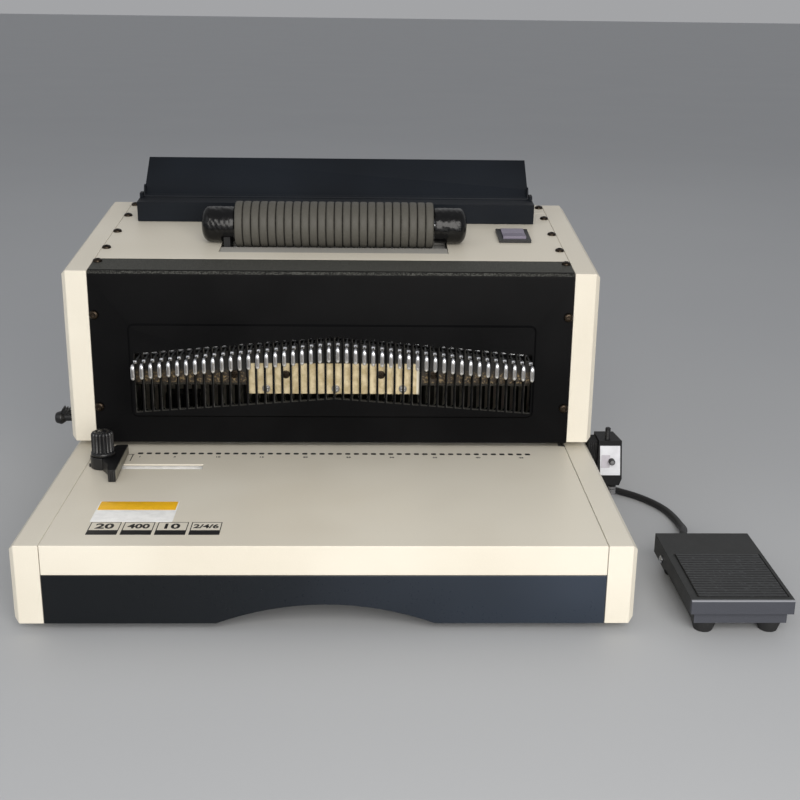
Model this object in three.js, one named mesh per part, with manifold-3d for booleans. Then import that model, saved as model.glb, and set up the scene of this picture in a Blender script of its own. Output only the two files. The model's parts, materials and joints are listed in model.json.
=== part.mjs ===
// Electric coil binding machine: a 46-hole punch with pull-out pins, a powered
// coil roller on its sloping top, a foot pedal on a cord and a chip drawer.
// Millimetres. X runs to the right, Y from the front to the back, Z up.
// The pieces are first placed from the middle of the front edge on the desk.
import * as THREE from 'three';
import { mergeGeometries, mergeVertices } from 'three/addons/utils/BufferGeometryUtils.js';
import Module from 'manifold-3d';

const wasm = await Module();
wasm.setup();

// Driving dimensions
const gap = 0.3; // running gap between neighbouring pieces
const overrun = 2; // how far a cutting tool passes through what it cuts
const sheet = 1.5; // thickness of the folded steel covers
const halfInside = 172.5; // from the middle to the seam of a side cover
const coverDepth = 15; // straight part of a side cover, outwards
const coverBevel = 3.2; // bevel round the outer edge of a side cover
const footHeight = 6;
const tableHeight = 58; // top of the paper table
const panelFront = 173; // front face of the punch tower
const throatHeight = 4.5; // paper gap under the tower
const throatDepth = 63; // how far the gap runs back at the two sides
const towerFrontHeight = 189.7;
const topSlope = 5.9; // degrees, the top rises towards the back
const machineDepth = 362;
const holeCount = 46;
const holePitch = 6.25;
const rowCentre = 1.1; // the row of holes sits a little right of the middle
const foot = { inX: 24, inY: 30, top: 10, tip: 8 };

// Lip and drawer in the front of the base
const lipHeight = 19.5;
const drawer = {
  depth: 205, frontThickness: 2.5, archWidth: 135, archHeight: 12.8, recess: 40, recessMargin: 5,
  floor: 1.2, wall: 1.2, wallTop: 31, lowGap: 0.3,
};

// Punching tools
const die = { front: 179, back: 197, height: 14, holeRadius: 2.15 };
const stripper = { height: 9.5, holeRadius: 2.15 };
const punch = { y: 188, radius: 1.9, start: 1.5, carrier: 3.6, carrierFront: 184.5, carrierEnd: 5 };
const beam = {
  front: 177, back: 191, grooveBack: 186, low: 107, high: 150, plateHalf: 63, plateLow: 98.5,
  plateBack: 183, darkBoltX: [-71, -34, 35, 73], darkBoltZ: 113.5, brightBoltX: [-48.4, 2, 51],
  brightBoltZ: 102.8, boltRadius: 2.8, boltHead: 1.6,
};
const pull = {
  front: 150, stem: 2.6, endRoom: 1.5, lowest: 126.6, rise: 13.9, thickness: 3, drop: 10.5, width: 2.8,
  grooveGap: 0.5, rail: 2.4,
};
const slot = { width: 4.7, corner: 1.2, topOver: 4.2, topRise: 12.4, low: 86.3, lowRise: 10.6 };
const boss = { left: 146, right: 146.5, low: 82, high: 152, proud: 2, slant: 1.4, corner: 4.5, steps: 3 };

// Eccentric drive of the punch beam
const drive = {
  y: 216, z: 128, shaft: 7, disc: 14, throw: 5, discWidth: 8, yokeX: 100, yokeWidth: 10, yokeBack: 241,
  yokeLow: 108, yokeTop: 160, windowHalfY: 20, windowHalfZ: 15.6, sides: 16,
};
const gearMotor = {
  boxIn: 112, boxFront: 198, boxBack: 238, boxLow: 106, boxTop: 150, x: 141, motorRadius: 23,
  motorEnd: 330, neckRadius: 12, neck: 4,
};
const frameSheet = {
  thickness: 3, in: 168, front: 179, back: 350, low: 40, step: 212, headroom: 8, notchBack: 201,
};

// Sloping top, measured along it from the front edge (d) and square to it (h)
const flange = { end: 29.7, bend: 4, bendSteps: 3 };
const lid = { seam: 163.4, end: 190.2 };
const rollerAt = { d: 73.8, h: 13.9 };
const roller = {
  half: 74.3, radius: 17.3, valley: 16.1, ribs: 24, shaft: 4, bore: 4.4, sides: 14, shaftEnd: 96,
};
const housing = {
  in: 75.3, out: 99.5, radius: 13.6, domeLength: 6, domeRadius: 9.8, wall: 1.6, rings: 3, sides: 20,
};
const well = { half: 85, front: 47.5, back: 100, floorFront: 60, floorBack: 88, depth: 6, sheet: 1.2 };
const beltDrive = {
  left: 83.2, right: 77.8, pulley: 8.5, shaft: 3, shaftEnd: 22, belt: 1.5, drop: 45, motorRadius: 17,
  motorEnd: 17, sides: 18, slotLeft: 83.9, slotRight: 77.1, hangerLeft: 62, hangerRight: 40,
  hangerHalf: 11,
};
const rest = {
  left: 158, front: 128.7, depth: 16.3, height: 16, pin: 1.5, ear: 2.4, earBack: 5, earLow: 6,
  axisBack: 2.2,
};
const flap = { half: 155.2, length: 46, sheet: 1.2, lean: 38, side: 5.5, start: 1.2, cheek: 3, cheekEnd: 11 };
const rocker = {
  left: 125.4, width: 24.6, front: 76, length: 31, rise: 2.5, bodyInset: 1.5, bodyDepth: 13, wallX: 3.2,
  wallD: 3.2, pocket: 7, crown: 1.6, half: 11.2, sink: 4.4, axle: 1.2, axleInset: 0.8,
};
const screw = {
  radius: 3.3, crown: 2, rim: 0.5, sides: 10, x: 168.9, flangeD: 22.5, lidD: [56, 99.5, 146], rearD: 180,
  panelLow: 89.5, panelHigh: 158,
};

// Side guide on the table
const guide = {
  x: -159.8, y: 134, slotLeft: -163.5, slotRight: -90.7, slotHalf: 4.5, face: 147.4, thickness: 8.6,
  noseY: 102.5, tailY: 160, tailWidth: 8, noseHalf: 3.2, noseLength: 12, wingX: 170, wingY: 132.5,
  wingHalf: 7.5, wingSheet: 2.4, bodyRadius: 9, stud: 2.5, footDepth: 3, washer: 7,
};
const guideKnob = {
  radius: 7.7, flange: 8.3, flangeHeight: 2.4, height: 17.4, flutes: 16, fluteDepth: 0.7, dome: 1.5,
};
const rail = { half: 9, sheet: 1.2, drop: 6, reach: 6 };

// Margin knob on the left and the back stop that it moves
const stop = {
  rest: 193.4, thickness: 3, half: 160, tabWidth: 3, tabStart: 4.2, tabDepth: 11.4, tabRise: 22,
  axisBack: 9.6, axisRise: 15, play: 0.9,
};
const depthKnob = {
  y: stop.rest + stop.axisBack, z: tableHeight + stop.axisRise, radius: 7.2, cap: 5.4, length: 18.5,
  collar: 5, round: 1.5, shaft: 3.2, in: 161.5, flutes: 12,
  fluteDepth: 0.8, throw: 2, crank: 1.4, disc: 4.6, discThickness: 2, crankLength: 4,
};

// Control box on the right side
const box = {
  left: 198.2, width: 17.2, front: 180, depth: 21.6, low: 31.5, high: 61.9, taper: 5.3, neckHalf: 4.4,
  neckShift: 2.1, wall: 1.6, bracketFront: 184, bracketBack: 199, bracketLow: 33, bracketTop: 60.5, fins: 6,
  finShare: 0.55,
};
const plate = { thickness: 0.8, marginX: 0.7, marginRight: 1.4, low: 34.6, high: 58 };
const speedKnob = { x: 208.2, z: 46.3, radius: 2.3, length: 5.8, shaft: 1.3, tail: 5 };
const button = { x: 205.2, y: 184.2, radius: 1.85, length: 9.6, tail: 7 };
const boxGland = { shift: 2.5, y: 186, root: 2.9, tip: 2.7, length: 9, ring: 2, sides: 12 };

// Rear fittings
const inlet = {
  x: -136, z: 34, width: 50, height: 26, rise: 3, holeWidth: 27, holeHeight: 19, holeDepth: 12, pin: 1.8,
  pinLength: 9, pinStep: 7, pinDrop: 3, body: 15,
};
const board = {
  left: -120, right: 20, low: 60, high: 150, thickness: 1.6, standOff: 6, post: 3, partHeights: [14, 22, 10],
  partShares: [[0.1, 0.15, 0.35, 0.4], [0.5, 0.2, 0.75, 0.6], [0.15, 0.6, 0.4, 0.9]],
};

// Pedal, placed from the machine's middle
const pedal = {
  left: 224.2, right: 288.2, front: -6.5, back: 94.8, low: 8, lip: 15.4, high: 24.8, wall: 2,
  baseInset: 3, baseRight: 3.2, baseTop: 17, earTop: 20.5, earHalf: 5.5, floor: 2, pinY: 71.5,
  pinZ: 16, pin: 2, pinHead: 2.6, matLeft: 4.2, matRight: 2.6, matFront: 5.2, matBack: 67.6, matSink: 0.9,
  ribs: 18, ribRise: 0.9, skirtLow: 11, skirtFront: 67, skirtSlant: 10,
  footRadius: 8.2, footTip: 6, footInset: 8.5, soleInset: 4, sole: 0.8,
};

// Pedal cord and its coil
const cord = { radius: 2.65, sides: 8, step: 12 };
const cordGland = {
  x: 40, z: 22, hexRadius: 8, hexLength: 5, nose: 6.2, shoulder: 5.2, tip: 3.6, length: 20, body: 9,
};
const relief = {
  x: 251, z: 12.3, tip: 115.3, neck: 2.2, behind: 3, collar: 4.4, collarLength: 3, end: 3.3, tail: 3,
};
const coil = {
  x: 120, y: 410, inner: 21.2, pitch: 6.8, layerStep: 5.95, low: 3.95, turnsDown: 3, climb: 0.5, turnsUp: 2.5,
  sides: 6, loopSteps: 24,
};
const tie = { sheet: 0.8, width: 5, angle: 200 };
const frontRoute = [
  [140, 446.9, 3.6], [163, 440.5, 3.1], [182, 427, 2.8], [195, 406, 2.75], [200, 382, 2.75],
  [200.5, 350, 2.75], [200.5, 315, 2.75], [200.8, 290, 2.75], [202.3, 270, 2.75],
  [206.5, 250.5, 2.75], [214.5, 237.3, 2.75],
  [225.5, 227, 2.75], [237.5, 216, 2.75], [247.5, 202.5, 2.75], [254.2, 188, 2.75], [257.6, 172, 2.8],
  [258.4, 157, 3.6], [257.3, 144.5, 6.3], [254.2, 132, 10.2],
];
const rearRoute = [
  [40, 402, 21], [42.5, 418, 18], [50, 434, 14.5], [64, 446.3, 11.7], [82, 450.9, 10.3], [100, 451.6, 9.9],
];

// Sizes worked out from the driving dimensions
const slope = THREE.MathUtils.degToRad(topSlope);
const topSteepness = Math.tan(slope);
const seam = halfInside - gap;
const throatTop = tableHeight + throatHeight;
const coverOut = halfInside + coverDepth + coverBevel;
const halfRow = ((holeCount - 1) / 2) * holePitch;
const holeX = (i) => rowCentre - halfRow + i * holePitch;
const centreShare = (x) => Math.max(0, 1 - Math.abs(x - rowCentre) / halfRow);
const pullTail = beam.grooveBack - pull.endRoom; // the pins stop short of the groove's end
const pullZ = (x) => pull.lowest + pull.rise * centreShare(x);
const towerBackHeight = towerFrontHeight + (machineDepth - panelFront) * topSteepness;
const boxRight = box.left + box.width;
const basePlateTop = footHeight + sheet;
const restAxisD = rest.front + rest.depth + rest.axisBack;
const restAxisH = rest.height;

// The part's own origin is under the middle of the machine, on the desk
const shiftX = (coverOut + depthKnob.length - boxRight) / 2;
const shiftY = -(machineDepth + cordGland.length) / 2;

// Materials
const paint = (color, roughness, metalness = 0) =>
  new THREE.MeshStandardMaterial({ color, roughness, metalness });
const ivory = paint(0xe9e4d2, 0.55);
const blackPaint = paint(0x17181b, 0.5);
const gloss = paint(0x1a1d22, 0.25);
const plastic = paint(0x1c1c1e, 0.45);
const greyRubber = paint(0x6b6a66, 0.8);
const rubber = paint(0x202022, 0.9);
const steel = paint(0xb9bcc0, 0.35, 1);
const brass = paint(0xc9b58a, 0.4, 0.8);
const greyPlastic = paint(0x8f8f98, 0.5);
const paleLabel = paint(0xe6e7ee, 0.4);
const motorPaint = paint(0x3c3f44, 0.5, 0.5);
const circuit = paint(0x2c5a3c, 0.6);

// Puts a geometry's own axes onto the X, Y and Z that it is built for
const turned = (geometry, x, y, z) => geometry.applyMatrix4(new THREE.Matrix4().makeBasis(
  new THREE.Vector3(...x), new THREE.Vector3(...y), new THREE.Vector3(...z)));

// A rectangular block between low and high limits
function block([x0, x1], [y0, y1], [z0, z1]) {
  const geometry = new THREE.BoxGeometry(x1 - x0, y1 - y0, z1 - z0);
  return geometry.translate((x0 + x1) / 2, (y0 + y1) / 2, (z0 + z1) / 2);
}

const shapeOf = (points) => new THREE.Shape(points.map(([a, b]) => new THREE.Vector2(a, b)));

function extruded(shape, depth) {
  return new THREE.ExtrudeGeometry(shape, { depth, bevelEnabled: false, steps: 1, curveSegments: 3 });
}

// Prisms of an outline along each axis: (y, z) along X, (x, z) along Y, (x, y) along Z
function prismX(points, x0, x1) {
  return turned(extruded(shapeOf(points), x1 - x0), [0, 1, 0], [0, 0, 1], [1, 0, 0]).translate(x0, 0, 0);
}

function prismY(points, y0, y1) {
  return turned(extruded(shapeOf(points), y1 - y0), [1, 0, 0], [0, 0, 1], [0, -1, 0]).translate(0, y1, 0);
}

function prismZ(points, z0, z1) {
  return extruded(shapeOf(points), z1 - z0).translate(0, 0, z0);
}

// A turned body: the profile lists (distance along the axis, radius) in order along the axis
function lathe(profile, sides, axis = 'z') {
  const points = profile.map(([along, radius]) => new THREE.Vector2(radius, along));
  const geometry = new THREE.LatheGeometry(points, sides);
  if (axis === 'z') return geometry.rotateX(Math.PI / 2);
  if (axis === 'y') return geometry;
  return geometry.rotateZ(-Math.PI / 2);
}

function rod(radius, from, to, sides, axis) {
  return lathe([[from, 0], [from, radius], [to, radius], [to, 0]], sides, axis);
}

// Closed meshes become solids for cutting and joining
function solid(geometry) {
  const bare = geometry.index ? geometry.toNonIndexed() : geometry.clone();
  bare.deleteAttribute('normal');
  bare.deleteAttribute('uv');
  const merged = mergeVertices(bare, 1e-4);
  return new wasm.Manifold(new wasm.Mesh({
    numProp: 3,
    vertProperties: Float32Array.from(merged.attributes.position.array),
    triVerts: Uint32Array.from(merged.index.array),
  }));
}

function geometryOf(body) {
  const mesh = body.getMesh();
  const geometry = new THREE.BufferGeometry();
  geometry.setAttribute('position', new THREE.BufferAttribute(mesh.vertProperties, 3));
  geometry.setIndex(new THREE.BufferAttribute(mesh.triVerts, 1));
  return geometry;
}

const cut = (from, ...tools) =>
  geometryOf(tools.reduce((body, tool) => body.subtract(solid(tool)), solid(from)));

const join = (first, ...rest) =>
  geometryOf(rest.reduce((body, more) => body.add(solid(more)), solid(first)));

// Separate solids that share one node
function group(geometries) {
  return mergeGeometries(geometries.map((one) => {
    const bare = one.index ? one.toNonIndexed() : one.clone();
    for (const name of Object.keys(bare.attributes)) {
      if (name !== 'position') bare.deleteAttribute(name);
    }
    return bare;
  }));
}

// A closed skin through rings of equal length; the caps are flat outlines
function loft(rings, capAxes = [0, 1]) {
  const count = rings[0].length;
  const points = rings.flat();
  const faces = [];
  for (let ring = 0; ring + 1 < rings.length; ring += 1) {
    for (let i = 0; i < count; i += 1) {
      const a = ring * count + i;
      const b = ring * count + (i + 1) % count;
      faces.push(a, b, b + count, a, b + count, a + count);
    }
  }
  const flat = (ring) => ring.map((p) => new THREE.Vector2(p[capAxes[0]], p[capAxes[1]]));
  const cap = (ring, start, facing) => {
    const outline = flat(ring);
    const forward = THREE.ShapeUtils.isClockWise(outline) ? -facing : facing;
    for (const [a, b, c] of THREE.ShapeUtils.triangulateShape(outline, [])) {
      if (forward > 0) faces.push(start + a, start + b, start + c);
      else faces.push(start + c, start + b, start + a);
    }
  };
  cap(rings[0], 0, -1);
  cap(rings.at(-1), (rings.length - 1) * count, 1);
  const geometry = new THREE.BufferGeometry();
  geometry.setAttribute('position', new THREE.Float32BufferAttribute(points.flat(), 3));
  geometry.setIndex(faces);
  return geometry;
}

// Moves each edge of an anticlockwise outline inwards by the same distance
function inset(points, distance) {
  return points.map((point, i) => {
    const before = points[(i + points.length - 1) % points.length];
    const after = points[(i + 1) % points.length];
    const normal = (from, to) => {
      const length = Math.hypot(to[0] - from[0], to[1] - from[1]);
      return [-(to[1] - from[1]) / length, (to[0] - from[0]) / length];
    };
    const [ax, ay] = normal(before, point);
    const [bx, by] = normal(point, after);
    const share = distance / (1 + ax * bx + ay * by);
    return [point[0] + (ax + bx) * share, point[1] + (ay + by) * share];
  });
}

// Outline of a rectangle with round corners, anticlockwise
function roundedOutline(x0, x1, y0, y1, radius, steps) {
  const corners = [[x1, y0, -1, 1, 270], [x1, y1, -1, -1, 0], [x0, y1, 1, -1, 90], [x0, y0, 1, 1, 180]];
  return corners.flatMap(([x, y, inX, inY, start]) => Array.from({ length: steps + 1 }, (_, i) => {
    const angle = THREE.MathUtils.degToRad(start + (90 * i) / steps);
    return [x + inX * radius + radius * Math.cos(angle), y + inY * radius + radius * Math.sin(angle)];
  }));
}

// Places what was built on the flat (x, d, h) onto the sloping top
const onTop = (geometry) => geometry.rotateX(slope).translate(0, panelFront, towerFrontHeight);
const topPoint = (d, h) => [
  panelFront + d * Math.cos(slope) - h * Math.sin(slope),
  towerFrontHeight + d * Math.sin(slope) + h * Math.cos(slope),
];

const root = new THREE.Group();
root.position.set(shiftX, shiftY, 0);

function piece(name, geometry, material) {
  geometry.deleteAttribute('normal');
  const mesh = new THREE.Mesh(geometry, material);
  mesh.name = name;
  root.add(mesh);
  return mesh;
}

const mirrored = (side, near, far) => (side < 0 ? [-far, -near] : [near, far]);

// A bevelled side cover, hollow and open towards the machine
function sideCover(side, outline, holes = []) {
  const ring = (points, x) => points.map(([y, z]) => [side * x, y, z]);
  const small = inset(outline, coverBevel);
  const straight = halfInside + coverDepth;
  const rings = [ring(outline, halfInside), ring(outline, straight), ring(small, coverOut)];
  const shell = loft(side > 0 ? rings : rings.reverse(), [1, 2]);
  const room = inset(outline, sheet + sheet);
  const tool = prismX(room, ...mirrored(side, halfInside - overrun, straight - sheet));
  return cut(shell, tool, ...holes);
}

function buildBase() {
  const back = machineDepth - sheet - gap;
  const front = drawer.frontThickness + gap;
  const fingers = drawer.archWidth / 2 + drawer.recessMargin;
  const notch = block([-fingers, fingers], [-overrun, drawer.recess], [0, tableHeight]);
  const floor = block([-seam, seam], [front, back], [footHeight, basePlateTop]);
  piece('base_plate', cut(floor, notch), steel);
  for (const [sideName, side] of [['left', -1], ['right', 1]]) {
    const x = side * (halfInside - foot.inX);
    for (const [endName, y] of [['front', foot.inY], ['rear', machineDepth - foot.inY]]) {
      const stud = lathe([[0, 0], [0, foot.tip], [footHeight, foot.top], [footHeight, 0]], 12);
      piece(`foot_${endName}_${sideName}`, stud.translate(x, y, 0), rubber);
    }
  }
  const outline = [[0, footHeight], [machineDepth, footHeight], [machineDepth, tableHeight],
    [0, tableHeight]];
  piece('base_side_cover_left', sideCover(-1, outline), ivory);
  piece('base_side_cover_right', sideCover(1, outline), ivory);
}

function buildTable() {
  const under = tableHeight - sheet;
  const back = die.front - gap;
  const lip = [[0, tableHeight - lipHeight], [sheet, tableHeight - lipHeight], [sheet, under],
    [back, under], [back, tableHeight], [0, tableHeight]];
  const window = block([guide.slotLeft, guide.slotRight],
    [guide.y - guide.slotHalf, guide.y + guide.slotHalf], [under - overrun, tableHeight + overrun]);
  piece('table_plate', cut(prismX(lip, -seam, seam), window), ivory);
  const top = under;
  const low = top - rail.drop;
  const y0 = guide.y - rail.half;
  const y1 = guide.y + rail.half;
  const x0 = guide.slotLeft - rail.reach;
  const x1 = guide.slotRight + rail.reach;
  const channel = [[y0, low], [y1, low], [y1, top], [y1 - rail.sheet, top],
    [y1 - rail.sheet, low + rail.sheet], [y0 + rail.sheet, low + rail.sheet], [y0 + rail.sheet, top],
    [y0, top]];
  piece('guide_rail', prismX(channel, x0, x1), steel);
}

function buildDrawer() {
  const low = footHeight + sheet + drawer.lowGap;
  const top = tableHeight - lipHeight - gap;
  const halfArch = drawer.archWidth / 2;
  const arch = [];
  const archSteps = 16;
  for (let i = 0; i <= archSteps; i += 1) {
    const x = halfArch - (drawer.archWidth * i) / archSteps;
    arch.push([x, footHeight + drawer.archHeight * (1 - (x / halfArch) ** 2)]);
  }
  const face = [[-seam, footHeight], ...arch.reverse(), [seam, footHeight],
    [seam, top], [-seam, top]];
  const side = seam - gap;
  const notch = halfArch + drawer.recessMargin;
  const y0 = drawer.frontThickness;
  const y1 = drawer.recess;
  const floor = [[-side, y0 - gap], [-notch, y0 - gap], [-notch, y1], [notch, y1], [notch, y0 - gap],
    [side, y0 - gap], [side, drawer.depth], [-side, drawer.depth]];
  const wall = drawer.wall;
  const end = drawer.depth - wall;
  const room = [[-side + wall, y0], [-notch - wall, y0], [-notch - wall, y1 + wall],
    [notch + wall, y1 + wall], [notch + wall, y0], [side - wall, y0], [side - wall, end],
    [-side + wall, end]];
  const tray = cut(prismZ(floor, low, drawer.wallTop),
    prismZ(room, low + drawer.floor, drawer.wallTop + overrun));
  piece('chip_drawer', join(prismY(face, 0, drawer.frontThickness), tray), gloss);
}

// Cutting tools for the row of punch holes
function holeTools(radius, z0, z1) {
  return group(Array.from({ length: holeCount }, (_, i) =>
    rod(radius, z0, z1, 6, 'z').translate(holeX(i), punch.y, 0)));
}

function buildPunchTools() {
  const reach = frameSheet.in - gap;
  const dieLow = tableHeight - die.height;
  const dieBlock = block([-reach, reach], [die.front, die.back], [dieLow, tableHeight]);
  const dieHoles = holeTools(die.holeRadius, dieLow - overrun, tableHeight + overrun);
  piece('die_block', cut(dieBlock, dieHoles), steel);
  const stripTop = throatTop + stripper.height;
  const strip = block([-reach, reach], [die.front, die.back], [throatTop, stripTop]);
  const stripHoles = holeTools(stripper.holeRadius, throatTop - overrun, stripTop + overrun);
  piece('stripper_plate', cut(strip, stripHoles), steel);
  const carrierTop = beam.low - gap;
  const carrierLow = carrierTop - punch.carrier;
  const end = halfRow + punch.carrierEnd;
  const carrier = block([rowCentre - end, rowCentre + end], [punch.carrierFront, beam.back],
    [carrierLow, carrierTop]);
  const pins = holeTools(punch.radius, throatTop + punch.start, carrierLow + punch.carrier / 2);
  piece('punches', join(carrier, pins), steel);
}

// The beam carries the punches and has a groove that the pull pins lock into
function buildBeam() {
  const reach = frameSheet.in - gap;
  const half = pull.thickness / 2 + pull.grooveGap;
  const endZ = pullZ(reach);
  const peakZ = pullZ(rowCentre);
  const edge = (offset) => [[-reach - overrun, endZ + offset], [rowCentre - halfRow, endZ + offset],
    [rowCentre, peakZ + offset], [rowCentre + halfRow, endZ + offset], [reach + overrun, endZ + offset]];
  const groove = [...edge(-half), ...edge(half).reverse()];
  const bar = block([-reach, reach], [beam.front, beam.back], [beam.low, beam.high]);
  const middle = block([-beam.plateHalf, beam.plateHalf], [beam.front, beam.plateBack],
    [beam.plateLow, beam.low + overrun]);
  const yokes = [-1, 1].map((side) => {
    const body = block(mirrored(side, drive.yokeX - drive.yokeWidth / 2, drive.yokeX + drive.yokeWidth / 2),
      [beam.back - overrun, drive.yokeBack], [drive.yokeLow, drive.yokeTop]);
    const centre = drive.z + drive.throw;
    const window = block([-seam, seam], [drive.y - drive.windowHalfY, drive.y + drive.windowHalfY],
      [centre - drive.windowHalfZ, centre + drive.windowHalfZ]);
    return cut(body, window);
  });
  const grooved = cut(bar, prismY(groove, beam.front - overrun, beam.grooveBack));
  const bolt = (z) => (x) => rod(beam.boltRadius, beam.front - beam.boltHead, beam.front + overrun, 8, 'y')
    .translate(x, 0, z);
  const bolts = [...beam.darkBoltX.map(bolt(beam.darkBoltZ)),
    ...beam.brightBoltX.map(bolt(beam.brightBoltZ))];
  piece('punch_beam', join(grooved, middle, ...yokes, ...bolts), brass);
}

// Each pull pin is a flat hook locked in the beam's groove; a rail there joins the pins of a group
function buildPulls() {
  const half = pull.thickness / 2;
  const hook = (x) => {
    const z = pullZ(x);
    const outline = [[pull.front, z - pull.drop], [pull.front + pull.stem, z - pull.drop],
      [pull.front + pull.stem, z - half], [pullTail, z - half], [pullTail, z + half],
      [pull.front, z + half]];
    return prismX(outline, x - pull.width / 2, x + pull.width / 2);
  };
  const firsts = [0, 11, 23, 35];
  firsts.forEach((first, part) => {
    const last = (firsts[part + 1] ?? holeCount) - 1;
    const middle = [rowCentre].filter((x) => x > holeX(first) && x < holeX(last));
    const bends = [holeX(first), ...middle, holeX(last)];
    const edge = (offset) => bends.map((x) => [x, pullZ(x) + offset]);
    const rail = prismY([...edge(-half), ...edge(half).reverse()], pullTail - pull.rail, pullTail);
    const hooks = [];
    for (let i = first; i <= last; i += 1) hooks.push(hook(holeX(i)));
    piece(`pull_pins_${part + 1}`, join(rail, group(hooks)), steel);
  });
}

// Domed screws, solid with the cover that they hold
function screwHead() {
  const s = screw;
  const dome = (share) => [s.rim + (s.crown - s.rim) * Math.sin((share * Math.PI) / 2),
    s.radius * Math.cos((share * Math.PI) / 2)];
  return lathe([[-sheet / 2, 0], [-sheet / 2, s.radius], dome(0), dome(0.5), [s.crown, 0]], s.sides);
}

const topScrews = (places) => places.flatMap((d) => [-screw.x, screw.x].map((x) =>
  onTop(screwHead().translate(x, d, 0))));

function buildPanel() {
  const face = panelFront;
  const inner = panelFront + sheet;
  const bend = flange.bend;
  const arc = (radius, centreY, centreZ) => Array.from({ length: flange.bendSteps + 1 }, (_, i) => {
    const angle = Math.PI - (i / flange.bendSteps) * (Math.PI / 2 - slope);
    return [centreY + radius * Math.cos(angle), centreZ + radius * Math.sin(angle)];
  });
  const centreZ = towerFrontHeight + bend * topSteepness - bend / Math.cos(slope);
  const outer = arc(bend, face + bend, centreZ);
  const within = arc(bend - sheet, face + bend, centreZ);
  const outline = [[inner, throatTop], ...within, topPoint(flange.end, -sheet), topPoint(flange.end, 0),
    ...outer.reverse(), [face, throatTop]];
  const folded = prismX(outline, -seam, seam);

  const raised = roundedOutline(-boss.left, boss.right, boss.low, boss.high, boss.corner, boss.steps);
  const ring = (points, y) => points.map(([x, z]) => [x, y, z]);
  const padRings = [ring(inset(raised, boss.slant), face - boss.proud), ring(raised, face),
    ring(raised, inner)];
  const pad = loft(padRings.map((points) => points.slice().reverse()), [0, 2]);

  const wide = slot.width / 2;
  const tools = Array.from({ length: holeCount }, (_, i) => {
    const x = holeX(i);
    const share = centreShare(x);
    const high = pull.lowest + slot.topOver + slot.topRise * share;
    const low = slot.low + slot.lowRise * share;
    const c = slot.corner;
    const points = [[x - wide + c, low], [x + wide - c, low], [x + wide, low + c], [x + wide, high - c],
      [x + wide - c, high], [x - wide + c, high], [x - wide, high - c], [x - wide, low + c]];
    return prismY(points, face - boss.proud - overrun, inner + overrun);
  });
  const heads = [screw.panelLow, screw.panelHigh].flatMap((z) => [-screw.x, screw.x].map((x) =>
    screwHead().rotateX(Math.PI / 2).translate(x, face, z)));
  const sheetAndScrews = join(folded, pad, ...heads, ...topScrews([screw.flangeD]));
  piece('front_panel', cut(sheetAndScrews, group(tools)), blackPaint);
}

function buildTower() {
  const outline = [[panelFront, throatTop + gap + gap], [panelFront + throatDepth, throatTop + gap + gap],
    [panelFront + throatDepth, tableHeight + gap], [machineDepth, tableHeight + gap],
    [machineDepth, towerBackHeight], [panelFront, towerFrontHeight]];
  const knobHole = rod(depthKnob.shaft + gap, -coverOut - overrun, -halfInside + overrun, 12, 'x')
    .translate(0, depthKnob.y, depthKnob.z);
  piece('tower_side_cover_left', sideCover(-1, outline, [knobHole]), ivory);
  piece('tower_side_cover_right', sideCover(1, outline), ivory);

  const f = frameSheet;
  const topAt = (y) => towerFrontHeight + (y - panelFront) * topSteepness - f.headroom;
  const side = [[f.front, f.low], [f.step, f.low], [f.step, basePlateTop], [f.back, basePlateTop],
    [f.back, topAt(f.back)], [f.front, topAt(f.front)], [f.front, throatTop + gap],
    [f.notchBack, throatTop + gap], [f.notchBack, tableHeight - gap], [f.front, tableHeight - gap]];
  const bearing = rod(drive.shaft + gap, -seam, seam, drive.sides, 'x').translate(0, drive.y, drive.z);
  const knobBore = rod(depthKnob.shaft + gap, -seam, -f.in + overrun, depthKnob.flutes, 'x')
    .translate(0, depthKnob.y, depthKnob.z);
  piece('side_frame_left', cut(prismX(side, -f.in - f.thickness, -f.in), bearing, knobBore), steel);
  piece('side_frame_right', cut(prismX(side, f.in, f.in + f.thickness), bearing), steel);
}

function buildDrive() {
  const d = drive;
  const end = frameSheet.in + frameSheet.thickness - gap;
  const shaft = rod(d.shaft, -end, end, d.sides, 'x');
  const halfDisc = d.discWidth / 2;
  const discs = [-1, 1].map((side) =>
    rod(d.disc, side * d.yokeX - halfDisc, side * d.yokeX + halfDisc, d.sides, 'x').translate(0, 0, d.throw));
  piece('eccentric_shaft', join(shaft, ...discs).translate(0, d.y, d.z), steel);

  const g = gearMotor;
  const outer = frameSheet.in - gap;
  const gearBox = block([g.boxIn, outer], [g.boxFront, g.boxBack], [g.boxLow, g.boxTop]);
  const bore = rod(d.shaft + gap, g.boxIn - overrun, outer + overrun, d.sides, 'x').translate(0, d.y, d.z);
  const motor = lathe([[g.boxBack - overrun, 0], [g.boxBack - overrun, g.neckRadius],
    [g.boxBack + g.neck, g.neckRadius], [g.boxBack + g.neck, g.motorRadius], [g.motorEnd, g.motorRadius],
    [g.motorEnd, 0]], 20, 'y')
    .translate(g.x, 0, drive.z);
  piece('gear_motor', join(cut(gearBox, bore), motor), motorPaint);
}

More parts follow.
